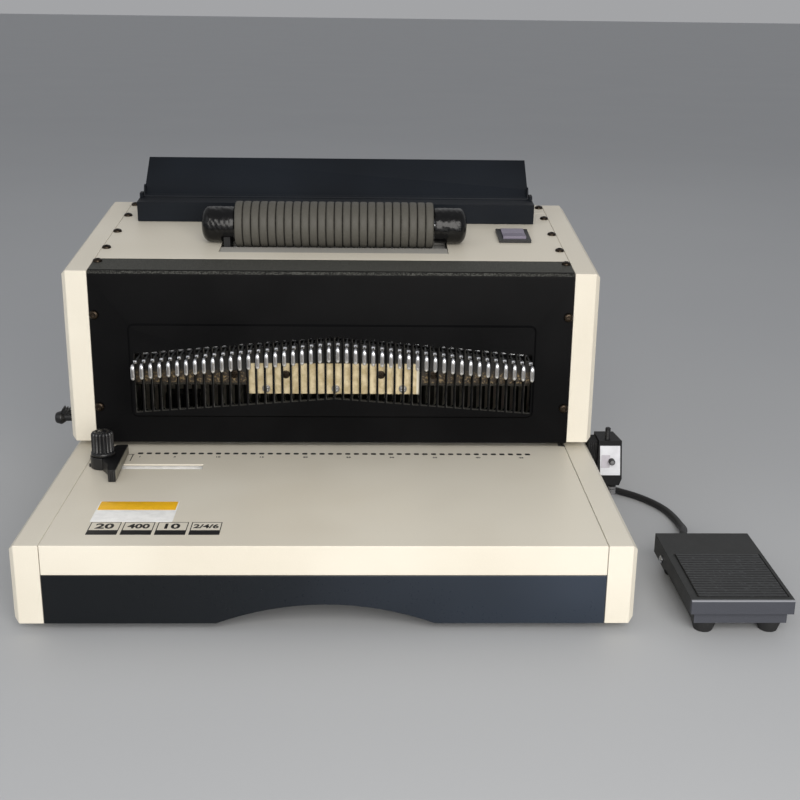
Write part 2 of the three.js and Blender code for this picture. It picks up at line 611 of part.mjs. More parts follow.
function buildTopCovers() {
  const w = well;
  const opening = block([-w.half, w.half], [w.front, w.back], [-sheet - overrun, overrun]);
  const r = rocker;
  const inset0 = r.bodyInset - gap;
  const switchHole = block([r.left + inset0, r.left + r.width - inset0],
    [r.front + inset0, r.front + r.length - inset0], [-sheet - overrun, overrun]);
  const flat = block([-seam, seam], [flange.end + gap, lid.seam], [-sheet, 0]);
  piece('top_cover', join(onTop(cut(flat, opening, switchHole)), ...topScrews(screw.lidD)), ivory);

  const level = -gap;
  const front = w.front + gap;
  const back = w.back - gap;
  const section = [[front, level - w.sheet], [w.floorFront, level - w.sheet], [w.floorFront, -w.depth],
    [w.floorBack, -w.depth], [w.floorBack, level - w.sheet], [back, level - w.sheet], [back, level],
    [w.floorBack - w.sheet, level], [w.floorBack - w.sheet, w.sheet - w.depth],
    [w.floorFront + w.sheet, w.sheet - w.depth], [w.floorFront + w.sheet, level], [front, level]];
  const beltHalf = beltDrive.pulley + beltDrive.belt + gap + gap;
  const beltSlot = block([-beltDrive.slotLeft, -beltDrive.slotRight],
    [rollerAt.d - beltHalf, rollerAt.d + beltHalf], [-w.depth - overrun, overrun]);
  piece('roller_well', onTop(cut(prismX(section, gap - w.half, w.half - gap), beltSlot)), greyPlastic);

  const backFace = machineDepth;
  const low = basePlateTop + gap;
  const [seamY, seamZ] = topPoint(lid.seam + gap, 0);
  const [underY, underZ] = topPoint(lid.seam + gap, -sheet);
  const cornerZ = towerFrontHeight + (backFace - panelFront) * topSteepness;
  const innerZ = towerFrontHeight + (backFace - sheet - panelFront) * topSteepness - sheet / Math.cos(slope);
  const rear = [[seamY, seamZ], [underY, underZ], [backFace - sheet, innerZ], [backFace - sheet, low],
    [backFace, low], [backFace, cornerZ]];
  const socket = block([inlet.x - inlet.holeWidth / 2 - sheet, inlet.x + inlet.holeWidth / 2 + sheet],
    [backFace - sheet - overrun, backFace + overrun],
    [inlet.z - inlet.holeHeight / 2 - sheet, inlet.z + inlet.holeHeight / 2 + sheet]);
  const glandHole = rod(cordGland.nose + gap, backFace - sheet - overrun, backFace + overrun, 12, 'y')
    .translate(cordGland.x, 0, cordGland.z);
  const folded = cut(prismX(rear, -seam, seam), socket, glandHole);
  piece('rear_cover', join(folded, ...topScrews([screw.rearD])), ivory);
}

// Powered roller with its two end housings, belt and motor
function buildRoller() {
  const r = roller;
  const pitch = (2 * r.half) / r.ribs;
  const profile = [[-r.half, r.bore], [-r.half, r.valley]];
  for (let i = 0; i < r.ribs; i += 1) {
    profile.push([-r.half + (i + 0.5) * pitch, r.radius], [-r.half + (i + 1) * pitch, r.valley]);
  }
  profile.push([r.half, r.bore], [-r.half, r.bore]);
  const place = (geometry) => onTop(geometry.translate(0, rollerAt.d, rollerAt.h));
  piece('roller_sleeve', place(lathe(profile, r.sides, 'x')), greyRubber);

  const b = beltDrive;
  const shaft = [[-r.shaftEnd, 0], [-r.shaftEnd, r.shaft], [-b.left, r.shaft], [-b.left, b.pulley],
    [-b.right, b.pulley], [-b.right, r.shaft], [r.shaftEnd, r.shaft], [r.shaftEnd, 0]];
  piece('roller_shaft', place(lathe(shaft, b.sides, 'x')), steel);

  const h = housing;
  const outside = [[h.in, 0], [h.in, h.radius], [h.out - h.domeLength, h.radius]];
  for (let i = 1; i < h.rings; i += 1) {
    const angle = (i / h.rings) * (Math.PI / 2);
    outside.push([h.out - h.domeLength * (1 - Math.sin(angle)),
      h.radius - h.domeRadius * (1 - Math.cos(angle))]);
  }
  outside.push([h.out, h.radius - h.domeRadius], [h.out, 0]);
  const body = () => lathe(outside, h.sides, 'x');
  const bore = (end) => rod(r.shaft + gap, h.in - overrun, end, 12, 'x');
  const right = cut(body(), bore(r.shaftEnd + gap));
  piece('roller_housing_right', place(right), plastic);
  const room = rod(h.radius - h.wall, b.right - gap - gap, b.left + gap + gap, h.sides, 'x');
  const mouth = block([b.right - gap - gap, b.left + gap + gap], [-h.radius + h.wall, h.radius - h.wall],
    [-h.radius - overrun, 0]);
  const left = cut(body(), bore(r.shaftEnd + gap), room, mouth).rotateZ(Math.PI);
  piece('roller_housing_left', place(left), plastic);

  // The belt loops round both pulleys with a running gap
  const loop = (radius) => {
    const points = [];
    const half = b.sides / 2;
    for (let i = 0; i <= half; i += 1) {
      const angle = (i / half) * Math.PI;
      points.push([radius * Math.cos(angle), radius * Math.sin(angle)]);
    }
    for (let i = 0; i <= half; i += 1) {
      const angle = Math.PI + (i / half) * Math.PI;
      points.push([radius * Math.cos(angle), -b.drop - rollerAt.h + radius * Math.sin(angle)]);
    }
    return points;
  };
  const within = b.pulley + gap;
  const beltBody = cut(prismX(loop(within + b.belt), -b.left + gap, -b.right - gap),
    prismX(loop(within), -b.left - overrun, -b.right + overrun));
  piece('roller_belt', place(beltBody), rubber);

  const low = (geometry) => onTop(geometry.translate(0, rollerAt.d, -b.drop));
  const pulley = [[-b.left, 0], [-b.left, b.pulley], [-b.right, b.pulley], [-b.right, b.shaft],
    [-b.shaftEnd, b.shaft], [-b.shaftEnd, 0]];
  piece('motor_pulley', low(lathe(pulley, b.sides, 'x')), steel);
  const start = -b.right + gap + gap;
  const can = cut(rod(b.motorRadius, start, -b.motorEnd, 16, 'x'),
    rod(b.shaft + gap, start - overrun, -b.shaftEnd + gap, 12, 'x'));
  const hanger = block([-b.hangerLeft, -b.hangerRight], [-b.hangerHalf, b.hangerHalf],
    [b.motorRadius / 2, b.drop - well.depth - gap]);
  piece('roller_motor', low(join(can, hanger)), motorPaint);
}

// Coil rest behind the roller: a channel and a leaning flap hinged to it
function buildCoilRest() {
  const c = rest;
  const back = c.front + c.depth;
  const outer = block([-c.left, c.left], [c.front, back], [gap, c.height]);
  const room = block([-c.left + sheet, c.left - sheet], [c.front + sheet, back - sheet],
    [-overrun, c.height - sheet]);
  const ears = [-1, 1].map((side) => {
    const ear = block(mirrored(side, c.left - c.ear, c.left), [back - sheet, back + c.earBack],
      [c.height - c.earLow, c.height + c.pin + gap + sheet]);
    const hole = rod(c.pin + gap, ...mirrored(side, c.left - c.ear - overrun, c.left + overrun), 10, 'x');
    return cut(ear, hole.translate(0, restAxisD, restAxisH));
  });
  piece('coil_rest_channel', onTop(join(cut(outer, room), ...ears)), blackPaint);

  const f = flap;
  const half = f.sheet / 2;
  const panel = block([-f.half, f.half], [f.start, f.length], [-half, half]);
  const cheeks = [-1, 1].map((side) => {
    const outline = [[-c.pin, -c.pin], [f.start + f.cheek, -half], [f.cheekEnd, -half],
      [f.cheekEnd - f.cheek, f.side], [f.side, f.side], [-c.pin, c.pin]];
    const cheek = prismX(outline, ...mirrored(side, f.half - f.sheet, f.half));
    return join(cheek, rod(c.pin, ...mirrored(side, f.half - half, c.left - gap), 10, 'x'));
  });
  const leaning = join(panel, ...cheeks).rotateX(THREE.MathUtils.degToRad(f.lean) - slope);
  piece('coil_rest_flap', onTop(leaning.translate(0, restAxisD, restAxisH)), blackPaint);
}

function buildSwitch() {
  const r = rocker;
  const x1 = r.left + r.width;
  const d1 = r.front + r.length;
  const midD = (r.front + d1) / 2;
  const i = r.bodyInset;
  const rim = block([r.left, x1], [r.front, d1], [gap, r.rise]);
  const body = block([r.left + i, x1 - i], [r.front + i, d1 - i], [-r.bodyDepth, r.rise / 2]);
  const pocket = block([r.left + r.wallX, x1 - r.wallX], [r.front + r.wallD, d1 - r.wallD],
    [r.rise - r.pocket, r.rise + overrun]);
  const end = i + r.axleInset;
  const axleBore = rod(r.axle + gap, r.left + end - gap, x1 - end + gap, 10, 'x').translate(0, midD, 0);
  piece('switch_bezel', onTop(cut(join(rim, body), pocket, axleBore)), plastic);

  const low = r.rise - r.sink;
  const high = r.rise + r.crown;
  const section = [[-r.half, low + r.axle], [-r.half / 2, low], [r.half / 2, low], [r.half, low + r.axle],
    [r.half, high], [0, high - r.axle / 2], [-r.half, high]];
  const paddle = prismX(section, r.left + r.wallX + gap, x1 - r.wallX - gap);
  const axle = rod(r.axle, r.left + end, x1 - end, 10, 'x');
  piece('switch_rocker', onTop(join(paddle, axle).translate(0, midD, 0)), greyPlastic);
}

// Fluted outline of a turned grip, in the plane square to its axis
function fluted(radius, depth, flutes) {
  return Array.from({ length: flutes * 2 }, (_, i) => {
    const angle = (i / (flutes * 2)) * Math.PI * 2;
    const r = i % 2 ? radius - depth : radius;
    return [r * Math.cos(angle), r * Math.sin(angle)];
  });
}

function buildSideGuide() {
  const g = guide;
  const face = -g.face;
  const low = tableHeight + gap;
  const high = low + g.thickness;
  const bar = [[face, g.tailY], [face - g.tailWidth, g.tailY - 1], [g.x, g.y + g.bodyRadius],
    [g.x, g.y - g.bodyRadius + 1.5], [face - 2 * g.noseHalf, g.noseY + g.noseLength],
    [face - 1.6 * g.noseHalf, g.noseY], [face, g.noseY]];
  const boss = rod(g.bodyRadius, low, high, 20, 'z').translate(g.x, g.y, 0);
  const wing = [[g.x, g.y + g.wingHalf], [-g.wingX, g.wingY], [g.x, g.y - g.wingHalf]];
  const body = join(prismZ(bar, low, high), boss, prismZ(wing, low, low + g.wingSheet));
  const bore = rod(g.stud + gap, low - overrun, high + overrun, 12, 'z').translate(g.x, g.y, 0);
  piece('side_guide', cut(body, bore), plastic);

  const k = guideKnob;
  const seat = high + gap;
  const nutTop = tableHeight - sheet - gap;
  const grip = fluted(k.radius, k.fluteDepth, k.flutes);
  const circle = (radius, z) => grip.map(([x, y]) => {
    const share = radius / Math.hypot(x, y);
    return [x * share, y * share, z];
  });
  const star = (z) => grip.map(([x, y]) => [x, y, z]);
  const crown = seat + k.height;
  const rings = [circle(g.washer, nutTop - g.footDepth), circle(g.washer, nutTop), circle(g.stud, nutTop),
    circle(g.stud, seat), circle(k.flange, seat), circle(k.flange, seat + k.flangeHeight),
    star(seat + k.flangeHeight),
    star(crown - k.dome), circle(k.radius - k.dome, crown)];
  piece('guide_knob', loft(rings).translate(g.x, g.y, 0), plastic);
}

function buildDepthKnob() {
  const k = depthKnob;
  const grip = fluted(k.radius, k.fluteDepth, k.flutes);
  const ring = (radius, x) => grip.map(([y, z]) => {
    const share = radius / Math.hypot(y, z);
    return [x, y * share, z * share];
  });
  const star = (x) => grip.map(([y, z]) => [x, y, z]);
  const wall = -coverOut - gap;
  const tip = -coverOut - k.length;
  const inner = -k.in;
  const rings = [ring(k.cap - k.round, tip), ring(k.cap, tip + k.round), star(tip + k.round + k.round),
    star(wall - k.collar),
    ring(k.radius, wall - k.collar + k.round), ring(k.radius, wall), ring(k.shaft, wall),
    ring(k.shaft, inner - k.discThickness), ring(k.disc, inner - k.discThickness), ring(k.disc, inner)];
  const body = loft(rings, [1, 2]);
  const crank = rod(k.crank, inner - overrun / 2, inner + k.crankLength, 8, 'x').translate(0, -k.throw, 0);
  piece('depth_knob', join(body, crank).translate(0, k.y, k.z), plastic);
}

function buildStop() {
  const k = depthKnob;
  const s = stop;
  const low = tableHeight + gap;
  const high = throatTop - gap;
  const tabLeft = -k.in + gap + gap;
  const bar = block([tabLeft, s.half], [s.rest, s.rest + s.thickness], [low, high]);
  const tabFront = s.rest + s.tabStart;
  const tabBack = tabFront + s.tabDepth;
  const arm = block([tabLeft, tabLeft + s.tabWidth], [s.rest, tabBack], [low, high]);
  const tab = block([tabLeft, tabLeft + s.tabWidth], [tabFront, tabBack], [low, tableHeight + s.tabRise]);
  const halfZ = k.throw + k.crank + s.play;
  const halfY = k.crank + s.play;
  const slotTool = block([tabLeft - overrun, tabLeft + s.tabWidth + overrun],
    [k.y - k.throw - halfY, k.y - k.throw + halfY], [k.z - halfZ, k.z + halfZ]);
  piece('back_stop', cut(join(bar, arm, tab), slotTool), steel);
}

// Small control box on the right-hand side of the base
function buildControlBox() {
  const b = box;
  const right = b.left + b.width;
  const back = b.front + b.depth;
  const midX = (b.left + right) / 2;
  const neckX = midX + b.neckShift;
  const neckLow = b.low - b.taper;
  const outer = [[b.left, b.low], [neckX - b.neckHalf, neckLow], [neckX + b.neckHalf, neckLow],
    [right, b.low], [right, b.high], [b.left, b.high]];
  const shell = prismY(outer, b.front, back);
  const room = block([b.left + b.wall, right - b.wall], [b.front + b.wall, back + overrun],
    [b.low, b.high - b.wall]);
  const knobBore = rod(speedKnob.shaft + gap, b.front - overrun, b.front + b.wall + overrun, 10, 'y')
    .translate(speedKnob.x, 0, speedKnob.z);
  const buttonBore = rod(button.radius + gap, b.high - b.wall - overrun, b.high + overrun, 10, 'z')
    .translate(button.x, button.y, 0);
  const n = boxGland;
  const glandProfile = [[neckLow - n.length, 0], [neckLow - n.length, n.tip], [neckLow - n.ring, n.root],
    [neckLow + n.ring, n.root], [neckLow + n.ring, 0]];
  const gland = lathe(glandProfile, n.sides).translate(neckX + n.shift, n.y, 0);
  const length = b.bracketBack - b.bracketFront;
  const fins = Array.from({ length: b.fins }, (_, i) => {
    const y = b.bracketFront + (i * length) / b.fins;
    return block([coverOut + gap, b.left + sheet / 2], [y, y + (length / b.fins) * b.finShare],
      [b.bracketLow, b.bracketTop]);
  });
  const web = block([coverOut + gap, b.left + sheet / 2], [b.bracketFront, b.bracketBack],
    [b.bracketLow, b.bracketLow + sheet + sheet]);
  piece('control_box', cut(join(shell, gland, web, ...fins), room, knobBore, buttonBore), plastic);

  const p = plate;
  const faceX = [b.left + p.marginX, right - p.marginRight];
  const facePlate = block(faceX, [b.front - p.thickness, b.front], [p.low, p.high]);
  const faceBore = rod(speedKnob.shaft + gap, b.front - p.thickness - overrun, b.front + overrun, 10, 'y')
    .translate(speedKnob.x, 0, speedKnob.z);
  piece('control_faceplate', cut(facePlate, faceBore), paleLabel);

  const k = speedKnob;
  const knobFront = b.front - k.length;
  const knobBack = b.front - p.thickness - gap;
  const knobProfile = [[knobFront, 0], [knobFront, k.radius], [knobBack, k.radius], [knobBack, k.shaft],
    [b.front + k.tail, k.shaft], [b.front + k.tail, 0]];
  piece('speed_knob', lathe(knobProfile, 12, 'y').translate(k.x, 0, k.z), plastic);

  const q = button;
  const plunger = rod(q.radius, b.high - q.tail, b.high + q.length, 12, 'z');
  piece('start_button', plunger.translate(q.x, q.y, 0), plastic);

}

function buildRear() {
  const n = inlet;
  const face = machineDepth;
  const plateBlock = block([n.x - n.width / 2, n.x + n.width / 2], [face, face + n.rise],
    [n.z - n.height / 2, n.z + n.height / 2]);
  const body = block([n.x - n.holeWidth / 2 - sheet + gap, n.x + n.holeWidth / 2 + sheet - gap],
    [face - n.body, face + n.rise / 2],
    [n.z - n.holeHeight / 2 - sheet + gap, n.z + n.holeHeight / 2 + sheet - gap]);
  const mouth = block([n.x - n.holeWidth / 2, n.x + n.holeWidth / 2],
    [face + n.rise - n.holeDepth, face + n.rise + overrun],
    [n.z - n.holeHeight / 2, n.z + n.holeHeight / 2]);
  const floor = face + n.rise - n.holeDepth;
  const pins = [[-n.pinStep, -n.pinDrop], [n.pinStep, -n.pinDrop], [0, n.pinDrop]].map(([x, z]) =>
    block([n.x + x - n.pin / 2, n.x + x + n.pin / 2], [floor - overrun, floor + n.pinLength],
      [n.z + z - n.pin, n.z + z + n.pin]));
  piece('power_inlet', join(cut(join(plateBlock, body), mouth), ...pins), plastic);

  const g = cordGland;
  const profile = [[face - g.body, 0], [face - g.body, g.nose], [face, g.nose], [face, g.hexRadius],
    [face + g.hexLength, g.hexRadius], [face + g.hexLength, g.shoulder], [face + g.length, g.tip],
    [face + g.length, 0]];
  piece('cord_gland', lathe(profile, 12, 'y').translate(g.x, 0, g.z), rubber);

  const c = board;
  const back = machineDepth - sheet - gap;
  const y1 = back - c.standOff;
  const y0 = y1 - c.thickness;
  const parts = [block([c.left, c.right], [y0, y1], [c.low, c.high])];
  for (const x of [c.left + c.post * 2, c.right - c.post * 2]) {
    for (const z of [c.low + c.post * 2, c.high - c.post * 2]) {
      parts.push(rod(c.post, y1 - c.thickness / 2, back, 8, 'y').translate(x, 0, z));
    }
  }
  const across = c.right - c.left;
  const up = c.high - c.low;
  c.partShares.forEach(([x0, z0, x1, z1], i) => {
    parts.push(block([c.left + x0 * across, c.left + x1 * across],
      [y0 - c.partHeights[i], y0 + c.thickness / 2], [c.low + z0 * up, c.low + z1 * up]));
  });
  piece('control_board', join(...parts), circuit);
}

function buildPedal() {
  const p = pedal;
  const x0 = p.left + p.baseInset;
  const x1 = p.right - p.baseRight;
  const y0 = p.front + p.baseInset;
  const y1 = p.back - p.baseInset;
  const tub = block([x0, x1], [y0, y1], [p.low, p.baseTop]);
  const hollow = block([x0 + p.wall, x1 - p.wall], [y0 + p.wall, y1 - p.wall],
    [p.low + p.floor, p.baseTop + overrun]);
  const ears = [[x0, x0 + p.wall], [x1 - p.wall, x1]].map((across) =>
    block(across, [p.pinY - p.earHalf, p.pinY + p.earHalf], [p.low, p.earTop]));
  const pinBore = rod(p.pin + gap, p.left, p.right, 10, 'x').translate(0, p.pinY, p.pinZ);
  const cordHole = rod(relief.neck + gap, y1 - p.wall - overrun, y1 + overrun, 10, 'y')
    .translate(relief.x, 0, relief.z);
  piece('pedal_base', cut(join(cut(tub, hollow), ...ears), pinBore, cordHole), plastic);

  const cap = block([p.left, p.right], [p.front, p.back], [p.lip, p.high]);
  const under = block([p.left + p.wall, p.right - p.wall], [p.front + p.wall, p.back - p.wall],
    [p.lip - overrun, p.high - p.wall]);
  const bed = block([p.left + p.matLeft - gap, p.right - p.matRight + gap],
    [p.front + p.matFront - gap, p.front + p.matBack + gap], [p.high - p.matSink, p.high + overrun]);
  const skirts = [[p.left, p.left + p.wall], [p.right - p.wall, p.right]].map((across) =>
    prismX([[p.skirtFront, p.skirtLow], [p.back, p.skirtLow], [p.back, p.high - p.wall],
      [p.skirtFront - p.skirtSlant, p.high - p.wall], [p.skirtFront - p.skirtSlant, p.lip]], ...across));
  const capBore = rod(p.pin + gap, p.left - overrun, p.right + overrun, 10, 'x').translate(0, p.pinY, p.pinZ);
  piece('pedal_plate', cut(join(cut(cap, under), ...skirts), bed, capBore), plastic);

  const matLow = p.high - p.matSink;
  const matLength = p.matBack - p.matFront;
  const pitch = matLength / p.ribs;
  const y = p.front + p.matFront;
  const outline = [[y, matLow], [y + matLength, matLow]];
  for (let i = p.ribs; i > 0; i -= 1) {
    outline.push([y + i * pitch, p.high], [y + (i - 0.5) * pitch, p.high + p.ribRise]);
  }
  outline.push([y, p.high]);
  piece('pedal_mat', prismX(outline, p.left + p.matLeft, p.right - p.matRight), rubber);

  const pin = lathe([[p.left - p.wall, 0], [p.left - p.wall, p.pinHead], [p.left - gap, p.pinHead],
    [p.left - gap, p.pin], [p.right, p.pin], [p.right, 0]], 10, 'x');
  piece('pedal_pin', pin.translate(0, p.pinY, p.pinZ), steel);

  const sole = block([x0 + p.soleInset, x1 - p.soleInset], [y0 + p.soleInset, y1 - p.soleInset],
    [p.low - p.sole, p.low]);
  const feet = [];
  const profile = [[0, 0], [0, p.footTip], [p.low, p.footRadius], [p.low, 0]];
  for (const x of [x0 + p.footInset, x1 - p.footInset]) {
    for (const footY of [y0 + p.footInset, y1 - p.footInset]) {
      feet.push(lathe(profile, 12).translate(x, footY, 0));
    }
  }
  piece('pedal_feet', join(sole, ...feet), rubber);

  const r = relief;
  const collar = p.back + gap + gap;
  const boot = [[y1 - r.tail, 0], [y1 - r.tail, r.neck], [y1 + gap, r.neck], [y1 + gap, r.behind],
    [collar, r.behind], [collar, r.collar], [collar + r.collarLength, r.collar], [r.tip, r.end], [r.tip, 0]];
  piece('pedal_strain_relief', lathe(boot, 12, 'y').translate(r.x, 0, r.z), rubber);
}

// A tube of constant section along a smooth path through its points
function tube(points, steps, sides) {
  const path = new THREE.CatmullRomCurve3(points.map((p) => new THREE.Vector3(...p)), false, 'centripetal');
  const section = new THREE.Shape(Array.from({ length: sides }, (_, i) => {
    const angle = (i / sides) * Math.PI * 2;
    return new THREE.Vector2(cord.radius * Math.cos(angle), cord.radius * Math.sin(angle));
  }));
  return new THREE.ExtrudeGeometry(section, { steps, extrudePath: path });
}

const routeLength = (points) => points.slice(1).reduce((sum, point, i) =>
  sum + Math.hypot(...point.map((value, axis) => value - points[i][axis])), 0);

// Centre line of the coil: inwards through the upper layer, down, then outwards through the lower one
const coilTurns = coil.turnsDown + coil.climb + coil.turnsUp;
function coilPoint(turn) {
  const sunk = Math.min(1, Math.max(0, (turn - coil.turnsDown) / coil.climb));
  const inward = Math.max(0, coil.turnsDown - turn);
  const outward = Math.max(0, turn - coil.turnsDown - coil.climb);
  const radius = coil.inner + coil.pitch * (inward + outward);
  const angle = Math.PI / 2 - turn * Math.PI * 2;
  const z = coil.low + coil.layerStep * (1 - sunk);
  return [coil.x + radius * Math.cos(angle), coil.y + radius * Math.sin(angle), z];
}

// Least clear distance between stretches of the coil that lie more than a few steps apart
function leastGap(points) {
  let least = Infinity;
  const apart = coil.loopSteps / 3;
  for (let i = 0; i < points.length; i += 1) {
    for (let j = i + apart; j < points.length; j += 1) {
      least = Math.min(least, Math.hypot(...points[i].map((value, axis) => value - points[j][axis])));
    }
  }
  return least - cord.radius * 2;
}

function buildCord() {
  const steps = coilTurns * coil.loopSteps;
  const turns = Array.from({ length: steps + 1 }, (_, i) => coilPoint(i / coil.loopSteps));
  const straight = cord.radius * 2;
  const first = [coil.x - straight, turns[0][1], turns[0][2]];
  const last = [coil.x + straight, turns.at(-1)[1], turns.at(-1)[2]];
  piece('pedal_cord_coil', tube([first, ...turns, last], steps, coil.sides), plastic);
  const fine = Array.from({ length: steps * 4 + 1 }, (_, i) => coilPoint(i / coil.loopSteps / 4));
  console.log(`coil: least gap ${leastGap(fine).toFixed(2)} mm, length ${routeLength(fine).toFixed(0)} mm`);

  const reliefEnd = relief.tip + gap;
  const front = [[last[0] + gap, last[1], last[2]], [last[0] + gap + straight, last[1], last[2]],
    ...frontRoute, [relief.x, reliefEnd + straight, relief.z], [relief.x, reliefEnd, relief.z]];
  const glandEnd = machineDepth + cordGland.length + gap;
  const rear = [[cordGland.x, glandEnd, cordGland.z], [cordGland.x, glandEnd + straight, cordGland.z],
    ...rearRoute, [first[0] - gap - straight, first[1], first[2]], [first[0] - gap, first[1], first[2]]];
  for (const [name, route] of [['pedal_cord_front', front], ['pedal_cord_rear', rear]]) {
    const length = routeLength(route);
    piece(name, tube(route, Math.round(length / cord.step), cord.sides), plastic);
    console.log(`${name}: ${length.toFixed(0)} mm`);
  }

  const t = tie;
  const outermost = coil.inner + coil.pitch * coil.turnsDown;
  const r0 = coil.inner - cord.radius - gap;
  const r1 = outermost + cord.radius - coil.pitch / 2 + gap;
  const z0 = coil.low - cord.radius - gap;
  const z1 = coil.low + coil.layerStep + cord.radius + gap;
  const outer = block([r0 - t.sheet, r1 + t.sheet], [-t.width / 2, t.width / 2],
    [z0 - t.sheet, z1 + t.sheet]);
  const ring = cut(outer, block([r0, r1], [-t.width, t.width], [z0, z1]));
  piece('coil_tie', ring.rotateZ(THREE.MathUtils.degToRad(t.angle)).translate(coil.x, coil.y, 0), plastic);
}

buildBase();
buildTable();
buildDrawer();
buildPunchTools();
buildBeam();
buildPulls();
buildPanel();
buildTower();
buildDrive();
buildTopCovers();
buildRoller();
buildCoilRest();
buildSwitch();
buildSideGuide();
buildDepthKnob();
buildStop();
buildControlBox();
buildRear();
buildPedal();
buildCord();

export default root;
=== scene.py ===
"""Coil binding machine: the finish of every piece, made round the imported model.

Shapes are worked out in millimetres in the machine's own frame, which starts at the middle
of the front edge on the desk: X to the right, Y to the back, Z up. piece() moves them into
the part's frame, in metres. Points on the sloping top are given as (x, d, h), where d runs
up the slope from its front edge and h is square to it.
"""

import json

import bmesh
import bpy
import numpy as np
from mathutils import Matrix, Vector

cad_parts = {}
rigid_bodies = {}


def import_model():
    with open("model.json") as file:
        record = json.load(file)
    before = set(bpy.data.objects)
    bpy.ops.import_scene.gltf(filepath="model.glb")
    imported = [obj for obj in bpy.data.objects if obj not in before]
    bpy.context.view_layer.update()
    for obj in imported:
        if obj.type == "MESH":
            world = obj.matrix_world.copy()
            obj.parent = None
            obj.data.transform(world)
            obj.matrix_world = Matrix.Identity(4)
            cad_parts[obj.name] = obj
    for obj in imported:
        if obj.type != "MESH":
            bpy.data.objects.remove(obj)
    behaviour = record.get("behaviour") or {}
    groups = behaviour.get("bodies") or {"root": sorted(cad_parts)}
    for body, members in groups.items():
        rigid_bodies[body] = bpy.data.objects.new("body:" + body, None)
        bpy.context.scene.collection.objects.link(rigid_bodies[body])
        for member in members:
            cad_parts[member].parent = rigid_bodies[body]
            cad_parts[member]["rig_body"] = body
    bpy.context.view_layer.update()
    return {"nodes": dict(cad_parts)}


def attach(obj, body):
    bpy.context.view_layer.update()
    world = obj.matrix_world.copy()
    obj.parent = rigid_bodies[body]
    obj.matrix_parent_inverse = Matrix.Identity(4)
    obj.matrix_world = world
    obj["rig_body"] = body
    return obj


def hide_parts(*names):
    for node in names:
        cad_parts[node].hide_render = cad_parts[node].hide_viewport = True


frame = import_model()
nodes = frame["nodes"]

MM = 0.001
SHIFT = np.array([-3.1, -191.0, 0.0])  # from the machine's frame to the part's origin

# -------- sizes, in millimetres
TABLE_TOP = 58.0
PANEL_FACE = 173.0
TOP_EDGE = 189.7  # height of the top's front edge
TOP_SLOPE = np.radians(5.9)
BACK_FACE = 362.0
SHEET = 1.5
FOOT_X, FOOT_Y = 148.5, 30.0  # from the middle, and from the front and the back

HOLES = 46
HOLE_PITCH = 6.25
ROW_CENTRE = 1.1
HALF_ROW = (HOLES - 1) / 2 * HOLE_PITCH
HOLE_X = ROW_CENTRE - HALF_ROW + np.arange(HOLES) * HOLE_PITCH

SCREW_X = 168.9
TOP_SCREWS_D = (22.5, 56.0, 99.5, 146.0, 180.0)
PANEL_SCREWS_Z = (89.5, 158.0)
SCREW_RADIUS = 3.35
SCREW_CROWN = 2.02

ROLLER_D, ROLLER_H = 73.8, 13.9
SLEEVE_HALF, SLEEVE_RADIUS, SLEEVE_VALLEY, SLEEVE_BORE = 74.3, 17.3, 15.9, 4.4
SLEEVE_RIBS = 24
HOUSING_IN, HOUSING_OUT, HOUSING_RADIUS = 75.3, 99.5, 13.6
HOUSING_WALL, HOUSING_BORE = 1.6, 4.3
DOME_LENGTH, DOME_RADIUS = 6.0, 9.8
BELT_MOUTH = (77.2, 83.8)

SLOT_LOW, SLOT_LOW_RISE = 86.3, 10.6  # foot of the outermost slots, and its rise to the middle
SLOT_HIGH, SLOT_HIGH_RISE = 130.8, 12.4  # head of the slots
BEAM_FACE = 177.0
PULL_GROUPS = (0, 11, 23, 35)  # first pin of each group
PULL_FRONT, PULL_TAIL = 150.0, 184.5
PULL_LOW, PULL_RISE, PULL_DROP = 126.6, 13.9, 10.5
PULL_HALF_DEPTH = 1.25
PIN_SIDES = 16

FIGURE_WEIGHT = 0.03  # how much bolder the figures are, as a share of their size
FLAP_AXIS = (147.2, 16.0)  # (d, h)
FLAP_EDGE = 245.0  # only the flap's upper edge stands above this height
FLAP_END, BARREL_END = 158.0, 155.0
COVER_LEFT = -190.7
GUIDE_KNOB, GUIDE_THICKNESS = (-159.8, 134.0), 8.6
MARGIN_AXIS = (203.0, 73.0)  # (y, z)
BOX_LEFT, BOX_TOP, BOX_FACE = 198.2, 61.9, 179.2
BOX_LEAN = 0.06  # how far the box moves to the right for each millimetre down
SPEED_AXIS, SPEED_FRONT = (208.2, 0, 46.3), 174.2
START_AXIS, BOX_GLAND = (205.2, 184.2, 0), (211.4, 186.0, 0)
INLET = (-136.0, 0, 34.0)
PEDAL_FRONT, PEDAL_TOP = -6.5, 24.8
CORD_RADIUS = 2.65
COIL_CENTRE = (120.0, 410.0)
COIL_INNER, COIL_PITCH, COIL_LAYER, COIL_LOW = 21.2, 6.8, 5.95, 3.95
COIL_DOWN, COIL_CLIMB, COIL_UP = 3.0, 0.5, 2.5
TIE_TURN = 200.0  # where round the coil the tie is, in degrees
GLAND = (40.0, 22.0)
GLAND_LENGTH = 20.0
RELIEF = (251.0, 12.3)
RELIEF_TIP = 115.3
GAP = 0.3


# -------- camera and light
def added(name, data):
    """An object of the scene."""
    made = bpy.data.objects.new(name, data)
    bpy.context.scene.collection.objects.link(made)
    return made


